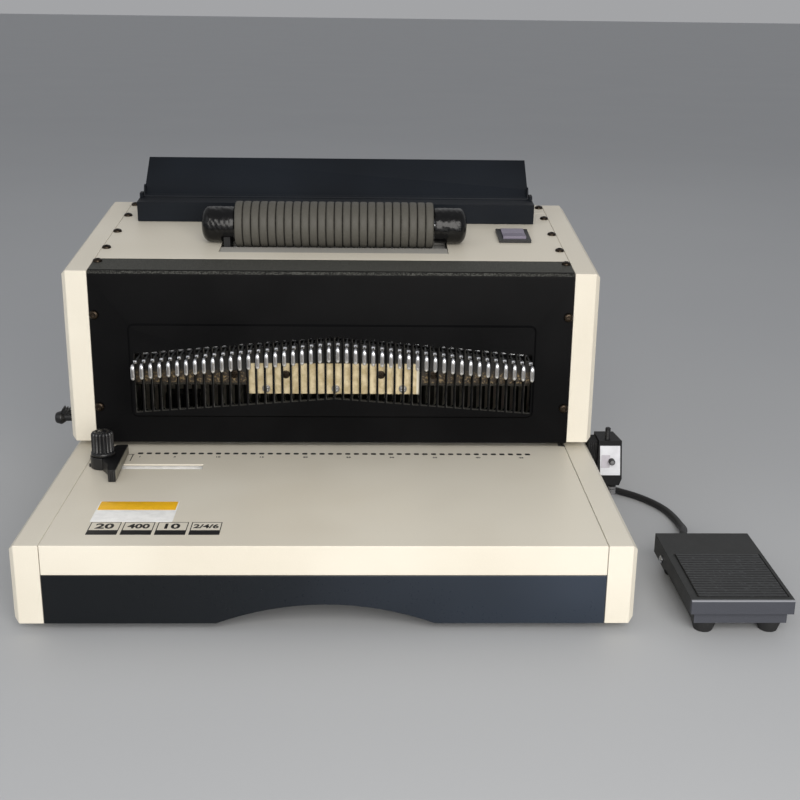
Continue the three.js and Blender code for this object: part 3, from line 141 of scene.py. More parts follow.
def aimed_camera():
    """The camera at the photograph's place, turned by its pitch, yaw and roll in radians."""
    stand = Vector(SHIFT + [24.37, -680.40, 368.84]) * MM
    pitch, yaw, roll = 0.3091, 0.0288, 0.0129
    ahead = Vector((np.sin(yaw) * np.cos(pitch), np.cos(yaw) * np.cos(pitch), -np.sin(pitch)))
    level = Vector((np.cos(yaw), -np.sin(yaw), 0))
    upright = level.cross(ahead)
    right = np.cos(roll) * level + np.sin(roll) * upright
    up = -np.sin(roll) * level + np.cos(roll) * upright
    data = bpy.data.cameras.new("studio_camera")
    data.sensor_width = 36
    data.lens = 55.3167
    data.shift_y = -0.00125
    data.clip_end = 50
    camera = added("studio_camera", data)
    turn = Matrix((right, up, -ahead)).transposed()
    camera.matrix_world = Matrix.Translation(stand) @ turn.to_4x4()
    bpy.context.scene.camera = camera


def soft_lamp(name, stand, target, size, watts, colour):
    """A square soft box that looks at a target, both in metres."""
    data = bpy.data.lights.new(name, "AREA")
    data.size = size
    data.energy = watts
    data.color = colour
    lamp = added(name, data)
    lamp.location = stand
    lamp.rotation_euler = (Vector(target) - Vector(stand)).to_track_quat("-Z", "Y").to_euler()


aimed_camera()


# -------- shapes
def wrapped_grid(rows, columns, closed=False):
    """Quads between neighbouring rows of a grid whose last column joins its first.
    A closed grid also joins its last row to its first."""
    i = np.arange(rows if closed else rows - 1)[:, None]
    j = np.arange(columns)[None, :]
    beside = (j + 1) % columns
    above = (i + 1) % rows
    quads = np.stack(np.broadcast_arrays(
        i * columns + j, i * columns + beside, above * columns + beside, above * columns + j), -1)
    return quads.reshape(-1, 4).tolist()


def together(*shapes):
    """Several shapes as one: the faces of each count on from the points of those before it."""
    points, faces, start = [], [], 0
    for some, quads in shapes:
        points.append(some)
        faces += [[start + v for v in face] for face in quads]
        start += len(some)
    return np.concatenate(points), faces


def moved(shape, by):
    return shape[0] + np.asarray(by, float), shape[1]


def copies(shape, places):
    return together(*(moved(shape, place) for place in places))


def on_top(shape):
    """(x, d, h) on the sloping top: turned by the slope and moved to the top's front edge."""
    x, d, h = shape[0].T
    y = PANEL_FACE + d * np.cos(TOP_SLOPE) - h * np.sin(TOP_SLOPE)
    z = TOP_EDGE + d * np.sin(TOP_SLOPE) + h * np.cos(TOP_SLOPE)
    return np.stack([x, y, z], 1), shape[1]


def rounded(points, radius, steps=5, closed=False):
    """Each corner drawn as a quadratic Bezier that starts and ends one radius from it, or just
    under halfway along its shorter side."""
    p = np.asarray(points, float)
    back, on = np.roll(p, 1, 0) - p, np.roll(p, -1, 0) - p
    back_length = np.maximum(np.linalg.norm(back, axis=1), 1e-9)[:, None]
    on_length = np.maximum(np.linalg.norm(on, axis=1), 1e-9)[:, None]
    reach = np.broadcast_to(np.asarray(radius, float).reshape(-1, 1), (len(p), 1))
    reach = np.minimum(reach, 0.49 * np.minimum(back_length, on_length))
    start, end = (p + back / back_length * reach)[:, None], (p + on / on_length * reach)[:, None]
    t = np.linspace(0, 1, steps)[None, :, None]
    arcs = (1 - t) ** 2 * start + 2 * t * (1 - t) * p[:, None] + t ** 2 * end
    if not closed:
        arcs[0], arcs[-1] = p[0], p[-1]
    line = arcs.reshape(-1, p.shape[1])
    apart = np.linalg.norm(line - np.roll(line, 1, 0), axis=1) > 1e-6
    return line[apart] if closed else line[apart | (np.arange(len(line)) == 0)]


def inset(outline, by):
    """An anticlockwise outline with every side moved inwards by the same amount."""
    side = np.roll(outline, -1, 0) - outline
    normal = np.stack([-side[:, 1], side[:, 0]], 1) / np.linalg.norm(side, axis=1)[:, None]
    before = np.roll(normal, 1, 0)
    share = by / (1 + (normal * before).sum(1))
    return outline + (normal + before) * share[:, None]


def slab(outline, low, high, ease=0.4, steps=4, axis="z"):
    """An anticlockwise outline given height. At both rims it moves in by ease * (1 - cos t)
    while it rises by ease * sin t. The axis is the one that the height runs along."""
    t = np.linspace(0, np.pi / 2, steps)
    inwards = np.concatenate([ease * (1 - np.sin(t)), ease * (1 - np.cos(t))])
    heights = np.concatenate([low + ease * (1 - np.cos(t)), high - ease * (1 - np.sin(t))])
    rings = [np.column_stack([inset(outline, a), np.full(len(outline), h)])
             for a, h in zip(inwards, heights)]
    points = np.concatenate(rings)
    faces = wrapped_grid(len(rings), len(outline))
    count = len(outline)
    faces.append(list(range(count))[::-1])
    faces.append(list(range(len(points) - count, len(points))))
    order = {"z": [0, 1, 2], "x": [2, 0, 1], "y": [1, 2, 0]}[axis]
    return points[:, order], faces


def box_outline(x0, x1, y0, y1, corner, steps=5):
    return rounded([(x0, y0), (x1, y0), (x1, y1), (x0, y1)], corner, steps, closed=True)


def turned(rows, sides=64, axis="z", flutes=0, sharp=1.0):
    """Rows of (along, radius, flute depth) turned about an axis. The radius is less the flute
    depth times a raised cosine of flutes * angle, taken to the power sharp."""
    rows = np.array([(*row, 0.0)[:3] for row in rows], float)
    angle = np.linspace(0, 2 * np.pi, sides, endpoint=False)
    wave = ((1 + np.cos(flutes * angle)) / 2) ** sharp if flutes else np.zeros(sides)
    radius = rows[:, 1:2] - rows[:, 2:3] * wave
    across, up = radius * np.cos(angle), radius * np.sin(angle)
    along = np.repeat(rows[:, :1], sides, 1)
    order = {"x": (along, across, up), "y": (up, along, across), "z": (across, up, along)}[axis]
    return np.stack(order, -1).reshape(-1, 3), wrapped_grid(len(rows), sides)


def arc(along, radius, rise, reach, steps):
    """Rows of a quarter ellipse: reach further out at its foot, rise further along at its top."""
    t = np.linspace(0, np.pi / 2, steps)
    return list(zip(along + rise * np.sin(t), radius + reach * np.cos(t)))


def dips(t, count):
    """A raised cosine that dips count times while t goes from 0 to 1: 1 in a dip, else 0."""
    return np.clip(np.cos(t * 2 * np.pi * count), 0, 1)


def swept(path, half_widths, half_heights, sides, side=None, power=1.0):
    """An oval section carried along a path. Across it runs half width * cos(angle), up it
    runs half height * sin(angle), both bent towards a box by a power below 1."""
    path = np.asarray(path, float)
    ahead = np.gradient(path, axis=0)
    ahead /= np.linalg.norm(ahead, axis=1)[:, None]
    across = np.cross(ahead, [0, 0, 1]) if side is None else np.broadcast_to(side, path.shape)
    across = across / np.linalg.norm(across, axis=1)[:, None]
    up = np.cross(across, ahead)
    angle = np.linspace(0, 2 * np.pi, sides, endpoint=False)
    widths, heights, power = (np.broadcast_to(v, len(path))[:, None]
                              for v in (half_widths, half_heights, power))
    u = np.sign(np.cos(angle)) * np.abs(np.cos(angle)) ** power * widths
    v = np.sign(np.sin(angle)) * np.abs(np.sin(angle)) ** power * heights
    points = path[:, None] + across[:, None] * u[..., None] + up[:, None] * v[..., None]
    return points.reshape(-1, 3), wrapped_grid(len(path), sides)


def smooth_route(points, spacing):
    """A centripetal Catmull-Rom line through the points, sampled again at even steps:
    each span is the blend of the four points round it, weighted by the roots of their distances."""
    p = np.asarray(points, float)
    p = np.concatenate([[2 * p[0] - p[1]], p, [2 * p[-1] - p[-2]]])
    knots = np.concatenate([[0], np.cumsum(np.sqrt(np.linalg.norm(np.diff(p, axis=0), axis=1)))])
    k = [knots[i:len(knots) - 3 + i][:, None, None] for i in range(4)]
    q = [p[i:len(p) - 3 + i][:, None] for i in range(4)]
    t = k[1] + (k[2] - k[1]) * np.linspace(0, 1, 24, endpoint=False)[None, :, None]
    first = [(k[i + 1] - t) / (k[i + 1] - k[i]) * q[i] + (t - k[i]) / (k[i + 1] - k[i]) * q[i + 1]
             for i in range(3)]
    second = [(k[i + 2] - t) / (k[i + 2] - k[i]) * first[i]
              + (t - k[i]) / (k[i + 2] - k[i]) * first[i + 1] for i in range(2)]
    line = (k[2] - t) / (k[2] - k[1]) * second[0] + (t - k[1]) / (k[2] - k[1]) * second[1]
    line = np.concatenate([line.reshape(-1, 3), p[-2:-1]])
    run = np.concatenate([[0], np.cumsum(np.linalg.norm(np.diff(line, axis=0), axis=1))])
    even = np.linspace(0, run[-1], int(run[-1] / spacing) + 1)
    return np.stack([np.interp(even, run, line[:, axis]) for axis in range(3)], 1)


def lettered(text, size, centre, height, wide):
    """Plain figures as a mesh, laid flat: their middle is at centre and they stand height proud.
    They are drawn out sideways by wide."""
    curve = bpy.data.curves.new("figures", "FONT")
    curve.body = text
    curve.size = size
    curve.extrude = height / 2
    curve.offset = size * FIGURE_WEIGHT
    curve.resolution_u = 3
    holder = bpy.data.objects.new("figures", curve)
    mesh = bpy.data.meshes.new_from_object(holder)
    points = np.array([v.co for v in mesh.vertices])
    faces = [list(face.vertices) for face in mesh.polygons]
    bpy.data.objects.remove(holder)
    bpy.data.meshes.remove(mesh)
    middle = (points.min(0) + points.max(0)) / 2
    points = (points - middle) * [wide, 1, 1]
    return points + [centre[0], centre[1], TABLE_TOP + height / 2], faces


# -------- finishes
def tone(red, green, blue):
    """A colour given as it is seen on a screen, 0 to 255, as the shader's linear one."""
    c = np.array([red, green, blue]) / 255
    return (*np.where(c <= 0.04045, c / 12.92, ((c + 0.055) / 1.055) ** 2.4).tolist(), 1.0)


def scaled(colour, by, plus=0.0):
    return (*(min(1.0, c * by + plus) for c in colour[:3]), 1.0)


class Signal:
    """One socket of a finish. Arithmetic on it adds Math nodes."""

    def __init__(self, finish, socket):
        self.finish = finish
        self.socket = socket

    def maths(self, operation, *others):
        return self.finish.node("Math", {"operation": operation}, dict(enumerate((self, *others))))

    def __add__(self, other):
        return self.maths("ADD", other)

    __radd__ = __add__

    def __mul__(self, other):
        return self.maths("MULTIPLY", other)

    __rmul__ = __mul__

    def __sub__(self, other):
        return self.maths("SUBTRACT", other)

    def __rsub__(self, other):
        return self.finish.node("Math", {"operation": "SUBTRACT"}, {0: other, 1: self})

    def between(self, low, high):
        """0 below low, 1 above high and a smooth step from one to the other."""
        return self.finish.node("MapRange", {"interpolation_type": "SMOOTHSTEP"}, {
            "Value": self, "From Min": low, "From Max": high})


class Finish:
    """A procedural material, its patterns placed by Object coordinates in metres."""

    def __init__(self, name, slot, roughness=0.5, **constants):
        self.material = bpy.data.materials.new(name)
        self.material.use_nodes = True
        self.slot = slot
        self.tree = self.material.node_tree
        self.shader = self.tree.nodes["Principled BSDF"]
        self.shader.inputs["Roughness"].default_value = roughness
        for key, value in constants.items():
            self.shader.inputs[key.replace("_", " ")].default_value = value
        self.place = self.node("TexCoord", output="Object")

    def node(self, kind, settings=None, values=None, output=0):
        """Any node: its settings come first, then the values or links of its inputs."""
        made = self.tree.nodes.new("ShaderNode" + kind)
        for key, value in (settings or {}).items():
            setattr(made, key, value)
        for key, value in (values or {}).items():
            if isinstance(value, Signal):
                self.tree.links.new(value.socket, made.inputs[key])
            else:
                made.inputs[key].default_value = value
        return Signal(self, made.outputs[output])

    def noise(self, grain, detail=3.0, stretch=(1, 1, 1)):
        """Noise with lumps of about one grain, in millimetres, drawn out along the axes by stretch."""
        drawn = self.node("VectorMath", {"operation": "MULTIPLY"}, {
            0: self.place, 1: tuple(1 / (grain * MM * s) for s in stretch)})
        return self.node("TexNoise", None, {
            "Vector": drawn, "Scale": 1.0, "Detail": detail, "Roughness": 0.55})

    def cells(self, grain):
        """Distance in a Voronoi pattern with cells of one grain, in millimetres."""
        return self.node("TexVoronoi", {"feature": "F1"}, {
            "Vector": self.place, "Scale": 1 / (grain * MM)}, "Distance")

    def attribute(self, name):
        """A value that the piece's own mesh carries."""
        return self.node("Attribute", {"attribute_name": name}, None, "Fac")

    def mix(self, share, first, second):
        """Two colours mixed by share."""
        return self.node("Mix", {"data_type": "RGBA"}, {0: share, 6: first, 7: second}, 2)

    def feed(self, socket, signal):
        self.tree.links.new(signal.socket, self.shader.inputs[socket])

    def dressed(self, colour, roughness, height, depth):
        """The finish with its colour, its roughness and bumps depth millimetres deep, where
        height goes from 0 to 1."""
        self.colour = colour
        self.feed("Base Color", colour)
        self.feed("Roughness", roughness)
        self.feed("Normal", self.node("Bump", None, {
            "Height": height, "Distance": depth * MM, "Strength": 1.0}, "Normal"))
        return self

    def axes(self):
        """The place along X, Y and Z in the machine's own frame, in millimetres."""
        at = self.node("VectorMath", {"operation": "SUBTRACT"}, {
            0: self.place, 1: tuple((SHIFT * MM).tolist())})
        split = self.node("SeparateXYZ", None, {"Vector": at})
        return [Signal(self, socket) * 1000 for socket in split.socket.node.outputs]


def painted(name, slot, light, dark, roughness, grain, depth, spread=0.1, **constants):
    """Sprayed or powder paint: a slow drift between two tones, fine dust specks that lie a
    shade lighter, a roughness that follows the grain, and an orange-peel relief."""
    f = Finish(name, slot, roughness, **constants)
    drift, peel, specks = f.noise(120, 2), f.noise(grain, 2), f.noise(0.5, 1)
    colour = f.mix(drift.between(0.35, 0.65), dark, light)
    colour = f.mix(specks.between(0.6, 0.85) * 0.5, colour, scaled(light, 1.25, 0.01))
    rub = f.noise(35, 4, (4, 1, 1)).between(0.5, 0.75)
    rough = roughness + spread * (peel - 0.5) + 0.06 * rub
    return f.dressed(colour, rough, peel + 0.35 * specks, depth)


def moulded(name, slot, colour, roughness, grain=0.8, depth=0.03, **constants):
    """Moulded plastic or rubber: spark-eroded grain, pale dust in the grain and thumbed patches
    that shine a little more."""
    f = Finish(name, slot, roughness, **constants)
    pits, haze, dust = f.cells(grain), f.noise(22, 3), f.noise(3, 4)
    colour = f.mix(dust.between(0.52, 0.8) * 0.45, colour, scaled(colour, 1.6, 0.012))
    rough = roughness + 0.12 * (haze - 0.5) + 0.08 * pits
    return f.dressed(colour, rough, pits + 0.3 * dust, depth)


def metal(name, colour, roughness, drawn):
    """Bare metal: fine lines drawn out along one axis, faint clouding of the tone and
    a few scratches."""
    f = Finish(name, "steel", roughness, Metallic=1.0)
    lines, cloud = f.noise(0.25, 2, drawn), f.noise(9, 3)
    clouded = cloud.between(0.3, 0.7) * 0.6 + 0.25 * lines
    rough = roughness + 0.18 * (lines - 0.5) + 0.12 * (cloud - 0.5)
    return f.dressed(f.mix(clouded, colour, scaled(colour, 0.62)), rough, lines, 0.01)


def ribbed_rubber(name, slot, crest, groove, roughness, **constants):
    """Rubber with ribs: paler on the crests and darker in the grooves, as painted light and shade;
    the crests are also smoother, and pale dust lies in specks.
    """
    f = Finish(name, slot, roughness, **constants)
    high, dust, grit = f.attribute("crest"), f.noise(1.6, 4), f.noise(0.35, 2)
    # painted light and shade: crests pale, grooves dark, by the share each point carries
    colour = f.mix(high.between(0.1, 0.85), groove, crest)
    colour = f.mix(dust.between(0.5, 0.8) * 0.6, colour, scaled(crest, 1.35))
    rough = roughness + 0.2 * (dust - 0.5) - 0.08 * high
    return f.dressed(colour, rough, grit + 0.6 * dust, 0.05)


def printed(name, colour, roughness=0.45):
    """Ink or foil on a label: even, with a faint unevenness and a fine tooth."""
    f = Finish(name, "pale_label", roughness)
    patch, tooth = f.noise(6, 3), f.noise(0.3, 2)
    colour = f.mix(patch.between(0.35, 0.7), colour, scaled(colour, 0.9))
    return f.dressed(colour, roughness + 0.15 * (tooth - 0.5), tooth, 0.008)


def drawer_coat():
    """Blue black gloss, painted darker towards the left and paler towards the right: a painted
    reflection of the light that comes from the right.
    """
    f = painted("blue_black_gloss", "gloss_black", tone(48, 56, 68), tone(38, 46, 57), 0.3, 1.4,
                0.02, 0.15, Specular_IOR_Level=0.3)
    paler = f.axes()[0].between(-200, 190)
    # painted reflection: near black at the left, rising to the coat's own tone at the right
    f.feed("Base Color", f.mix(paler * paler, tone(8, 12, 16), f.colour))
    return f


def pedal_moulding():
    """Moulded black, painted a lighter grey on the faces at the pedal's front, where the light falls
    on them, and with a painted highlight along the front's upper edge."""
    f = moulded("pedal_moulding", "black_plastic", tone(42, 43, 43), 0.5, 0.7, 0.06,
                Specular_IOR_Level=0.3)
    _, y, z = f.axes()
    # painted light: the faces at the front, below the top, are a lighter grey
    below_top = 1 - z.between(PEDAL_TOP - 0.4, PEDAL_TOP - 0.1)
    front = below_top * (1 - y.between(PEDAL_FRONT + 3.2, PEDAL_FRONT + 3.8))
    colour = f.mix(front, f.colour, tone(66, 68, 75))
    # painted highlight along the upper front edge
    edge = 1 - y.between(PEDAL_FRONT + 1.0, PEDAL_FRONT + 1.5)
    edge = edge * z.between(PEDAL_TOP - 1.1, PEDAL_TOP - 0.7)
    f.feed("Base Color", f.mix(edge * 0.8, colour, tone(150, 152, 158)))
    return f


def painted_slot_highlights(f, x, z):
    """Painted highlights on the slots' rims, where the light from the right catches them: near each
    slot's left wall and foot, found from the distance to the nearest hole's middle, between the
    slot's own ends."""
    steps = (x - HOLE_X[0]) * (1 / HOLE_PITCH)
    off = (steps - steps.maths("ROUND")) * HOLE_PITCH
    rise = 1 - (x - ROW_CENTRE).maths("ABSOLUTE") * (1 / HALF_ROW)
    above = z - (SLOT_LOW + SLOT_LOW_RISE * rise)
    below = (SLOT_HIGH + SLOT_HIGH_RISE * rise) - z
    left = off.between(-2.85, -2.5) * (1 - off.between(-2.3, -2.0))
    foot = above.between(-0.6, -0.1) * (1 - above.between(0.1, 0.5))
    inside = (1 - off.between(1.6, 2.4)) * off.between(-2.9, -2.6)
    rim = left * above.between(-0.6, 0.2) * below.between(-0.2, 1.5)
    patches = f.noise(9, 3).between(0.38, 0.62)
    in_row = 1 - (rise * -HALF_ROW).between(2.4, 3.0)
    return in_row * (rim * (0.25 + 0.75 * patches)).maths("MAXIMUM", 0.6 * foot * inside)


def panel_paint():
    """Black powder coat: dull and deep on the front, grey on the flange on top, where pale specks
    sit in the grain, with a painted highlight along the bend and painted highlights on the slot rims."""
    f = Finish("black_powder_coat", "black_paint", 0.5, Specular_IOR_Level=0.06)
    x, y, z = f.axes()
    grain, specks, drift = f.noise(0.9, 2), f.noise(0.55, 1), f.noise(70, 2)
    colour = f.mix(drift.between(0.35, 0.65), tone(6, 6, 7), tone(11, 11, 12))
    colour = f.mix(specks.between(0.62, 0.85) * 0.5, colour, tone(24, 25, 27))
    paler = f.mix(specks.between(0.35, 0.75), tone(58, 58, 55), tone(86, 86, 81))
    on_flange = y.between(PANEL_FACE + 2.6, PANEL_FACE + 4.2)
    on_flange = on_flange * z.between(TOP_EDGE - 1.2, TOP_EDGE - 0.2)
    colour = f.mix(on_flange, colour, paler)
    # painted highlight: a pale line along the bend at the top of the front
    bend = z.between(TOP_EDGE - 2.4, TOP_EDGE - 1.6)
    bend = bend * (1 - y.between(PANEL_FACE + 1.6, PANEL_FACE + 2.6))
    colour = f.mix(bend * (0.05 + 0.35 * grain.between(0.4, 0.65)), colour, tone(128, 128, 122))
    # painted highlights on the slot rims
    colour = f.mix(0.8 * painted_slot_highlights(f, x, z), colour, tone(78, 77, 73))
    return f.dressed(colour, 0.5 + 0.3 * (grain - 0.5), grain + 0.35 * specks, 0.06)


def beam_coat():
    """The punch beam: straw metal on the plate in the middle, brown with bright points along the
    foot of the rest, and black above it, partly dark steel and partly painted shade, with a
    painted highlight down the plate's right end."""
    f = Finish("worked_punch_beam", "brass_bar", 0.42)
    x, y, z = f.axes()
    lines, cloud, points = f.noise(0.3, 2, (1, 1, 14)), f.noise(7, 3), f.noise(1.7, 2)
    off = x - ROW_CENTRE
    in_plate = 1 - off.maths("ABSOLUTE").between(62.6, 63.2)
    plate = in_plate * (1 - z.between(121.2, 122.2))
    straw = f.mix(cloud.between(0.3, 0.7) * 0.6 + 0.3 * lines, tone(232, 218, 184),
                  tone(170, 150, 108))
    # black above the foot: partly dark steel, partly painted shade
    dark = f.mix(points.between(0.55, 0.75), tone(15, 14, 13), tone(36, 32, 27))
    brown = f.mix(points.between(0.5, 0.72), tone(52, 42, 30), tone(148, 128, 92))
    foot = 1 - z.between(112.0, 118.0)
    # painted highlight: a pale line down the plate's right end
    end = off.between(59.6, 60.2) * plate
    straw = f.mix(end, straw, tone(250, 244, 224))
    f.feed("Metallic", 0.25 + 0.6 * plate - 0.5 * end)
    rough = 0.4 + 0.18 * (lines - 0.5) + 0.12 * (cloud - 0.5)
    return f.dressed(f.mix(plate, f.mix(foot, dark, brown), straw), rough, lines, 0.012)


def pin_steel():
    """Nickelled pins: painted highlights on the rims and crests, a darker tone in the hollow
    between them, and a darker film in patches.
    """
    f = Finish("nickelled_pins", "steel", 0.3, Metallic=1.0)
    rim, film, lines = f.attribute("crest"), f.noise(2.4, 3), f.noise(0.2, 2, (1, 1, 10))
    # painted highlight: bright where the points carry it, darker in the hollow
    colour = f.mix(rim.between(0.15, 0.8), tone(138, 136, 134), tone(234, 235, 238))
    colour = f.mix(film.between(0.5, 0.75) * 0.35, colour, tone(120, 117, 112))
    return f.dressed(colour, 0.3 + 0.14 * (film - 0.5) + 0.08 * lines, lines, 0.01)


IVORY = painted("ivory_powder_coat", "ivory_paint", tone(226, 220, 205), tone(219, 212, 196),
                0.42, 1.1, 0.035)
BLACK_COAT = panel_paint()
FLAP_COAT = painted("satin_black_coat", "black_paint", tone(22, 27, 34), tone(15, 19, 25),
                    0.5, 0.7, 0.03, 0.2, Specular_IOR_Level=0.15)
GLOSS_COAT = drawer_coat()
PLASTIC = moulded("black_moulding", "black_plastic", tone(26, 26, 28), 0.38)
GRIP_PLASTIC = moulded("black_grip", "black_plastic", tone(20, 20, 21), 0.3, 0.6, 0.02)
BOX_PLASTIC = moulded("box_moulding", "black_plastic", tone(17, 17, 19), 0.5, 0.6, 0.05,
                       Specular_IOR_Level=0.3)
GREY_PLASTIC = moulded("grey_moulding", "black_plastic", tone(108, 108, 110), 0.45, 0.6, 0.02)
PEDAL_PLASTIC = pedal_moulding()
VINYL = moulded("crinkled_vinyl", "black_plastic", tone(9, 9, 10), 0.17, 1.6, 0.05,
                Specular_IOR_Level=0.3)
RUBBER = moulded("black_rubber", "black_rubber", tone(28, 28, 29), 0.75, 1.2, 0.05)
CORD_RUBBER = moulded("cord_jacket", "black_rubber", tone(22, 22, 24), 0.5, 0.9, 0.03)
SLEEVE_RUBBER = ribbed_rubber("grey_roller_rubber", "grey_rubber", tone(82, 80, 74),
                              tone(24, 23, 21), 0.62, Specular_IOR_Level=0.25)
MAT_RUBBER = ribbed_rubber("pedal_mat_rubber", "black_rubber", tone(78, 81, 83),
                           tone(15, 15, 16), 0.55)
STEEL = metal("bright_steel", tone(214, 216, 220), 0.24, (1, 12, 1))
PIN_STEEL = pin_steel()
OILED_STEEL = metal("oiled_steel", tone(70, 68, 64), 0.36, (1, 1, 12))
GUIDE_PLASTIC = moulded("guide_face", "black_plastic", tone(126, 122, 110), 0.5, 0.6, 0.02)
PLATE_STEEL = metal("dull_steel", tone(150, 152, 155), 0.42, (18, 1, 1))
SCREW_STEEL = metal("black_oxide_steel", tone(60, 52, 44), 0.3, (1, 1, 1))
DIE_METAL = painted("ground_die_plate", "steel", tone(198, 192, 178), tone(176, 170, 156),
                    0.35, 0.4, 0.01)
BEAM_METAL = beam_coat()
TRAY = painted("pale_grey_tray", "grey_plastic", tone(176, 174, 168), tone(162, 160, 154),
               0.45, 0.8, 0.03)
PADDLE = moulded("lilac_grey_paddle", "grey_plastic", tone(130, 124, 140), 0.3, 0.5, 0.01)
FACEPLATE = printed("pale_faceplate", tone(226, 227, 232), 0.4)
MOTOR = painted("motor_enamel", "motor_paint", tone(66, 70, 76), tone(52, 56, 61), 0.4, 1.5,
                0.03)
BOARD = painted("green_solder_mask", "circuit_board", tone(44, 92, 58), tone(36, 76, 48), 0.35,
                0.6, 0.02)
INK = printed("black_ink", tone(15, 14, 15), 0.5)
YELLOW = printed("yellow_label", tone(247, 190, 28), 0.4)
# painted shadow of the speed knob, grey on the faceplate
PAINTED_KNOB_SHADOW = printed("painted_knob_shadow", tone(196, 192, 200), 0.45)
WHITE = printed("white_label", tone(246, 246, 244), 0.4)
BRIGHT_STRIP = printed("white_slot_strip", tone(252, 252, 250), 0.35)


# -------- pieces
def angle_shaded(mesh, degrees):
    """Smooth faces, with the edges sharper than the angle left crisp."""
    mesh.polygons.foreach_set("use_smooth", np.ones(len(mesh.polygons), bool))
    mesh.set_sharp_from_angle(angle=np.radians(degrees))


def piece(name, shape, finish, body="machine", replaced=(), closed=True, smooth=35, values=None):
    """A new piece from points in the machine's frame. Its doubles are merged, and a closed one
    has its faces turned outwards. values are numbers that its points carry, by name."""
    points, faces = shape
    mesh = bpy.data.meshes.new(name)
    mesh.from_pydata(((points + SHIFT) * MM).tolist(), [], faces)
    for key, numbers in (values or {}).items():
        mesh.attributes.new(key, "FLOAT", "POINT").data.foreach_set("value", numbers)
    work = bmesh.new()
    work.from_mesh(mesh)
    bmesh.ops.remove_doubles(work, verts=work.verts, dist=2e-6)
    if closed:
        bmesh.ops.recalc_face_normals(work, faces=work.faces)
    work.to_mesh(mesh)
    work.free()
    angle_shaded(mesh, smooth)
    return placed(name, mesh, finish, body, replaced)


def placed(name, mesh, finish, body, replaced):
    mesh.materials.clear()
    mesh.materials.append(finish.material)
    made = added(name, mesh)
    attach(made, body)
    if replaced:
        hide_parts(*replaced)
    return made


def screws_laid_flat(points):
    """The solids carry plain screw heads. Every point of one is let down onto its cover,
    because a made head stands in its place."""
    x, y, z = points.T.copy()
    d = (y - PANEL_FACE) * np.cos(TOP_SLOPE) + (z - TOP_EDGE) * np.sin(TOP_SLOPE)
    h = (z - TOP_EDGE) * np.cos(TOP_SLOPE) - (y - PANEL_FACE) * np.sin(TOP_SLOPE)
    near = SCREW_RADIUS + 0.2
    side = np.abs(x) - SCREW_X
    on_lid = np.hypot(side[:, None], d[:, None] - TOP_SCREWS_D).min(1) < near
    on_panel = np.hypot(side[:, None], z[:, None] - PANEL_SCREWS_Z).min(1) < near
    h = np.where(on_lid & (h > 0), 0, h)
    lowered = on_top((np.stack([x, d, h], 1), None))[0]
    lowered[on_panel & (lowered[:, 1] < PANEL_FACE), 1] = PANEL_FACE
    return lowered


def eased(node, finish, edge=0.4, segments=2, reshape=None, smooth=35):
    """A copy of a solid, merged, with the triangles of each flat face joined again and its
    edges broken by a bevel of edge millimetres."""
    mesh = nodes[node].data.copy()
    mesh.name = node + "_made"
    if reshape:
        points = np.array([v.co for v in mesh.vertices]) / MM - SHIFT
        mesh.vertices.foreach_set("co", ((reshape(points) + SHIFT) * MM).ravel())
    work = bmesh.new()
    work.from_mesh(mesh)
    bmesh.ops.remove_doubles(work, verts=work.verts, dist=5e-6)
    bmesh.ops.dissolve_degenerate(work, edges=work.edges, dist=5e-6)
    bmesh.ops.dissolve_limit(work, angle_limit=np.radians(1), verts=work.verts, edges=work.edges)
    work.to_mesh(mesh)
    work.free()
    angle_shaded(mesh, smooth)
    made = placed(node + "_made", mesh, finish, nodes[node]["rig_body"], [node])
    if edge:
        bevel = made.modifiers.new("edges", "BEVEL")
        bevel.width = edge * MM
        bevel.segments = segments
        bevel.limit_method = "ANGLE"
        bevel.angle_limit = np.radians(32)
        bevel.harden_normals = True
    return made


# ---- the pedal cord and what is on it
def coil_line():
    """The coil's centre line: inwards through the upper layer, down, then outwards below.
    The radius changes by one pitch a turn and the angle runs backwards from a quarter turn."""
    turns = COIL_DOWN + COIL_CLIMB + COIL_UP
    turn = np.linspace(0, turns, int(turns * 36) + 1)
    sunk = np.clip((turn - COIL_DOWN) / COIL_CLIMB, 0, 1)
    radius = COIL_INNER + COIL_PITCH * (
        np.maximum(0, COIL_DOWN - turn) + np.maximum(0, turn - COIL_DOWN - COIL_CLIMB))
    angle = np.pi / 2 - turn * 2 * np.pi
    return np.stack([COIL_CENTRE[0] + radius * np.cos(angle),
                     COIL_CENTRE[1] + radius * np.sin(angle),
                     COIL_LOW + COIL_LAYER * (1 - sunk)], 1)


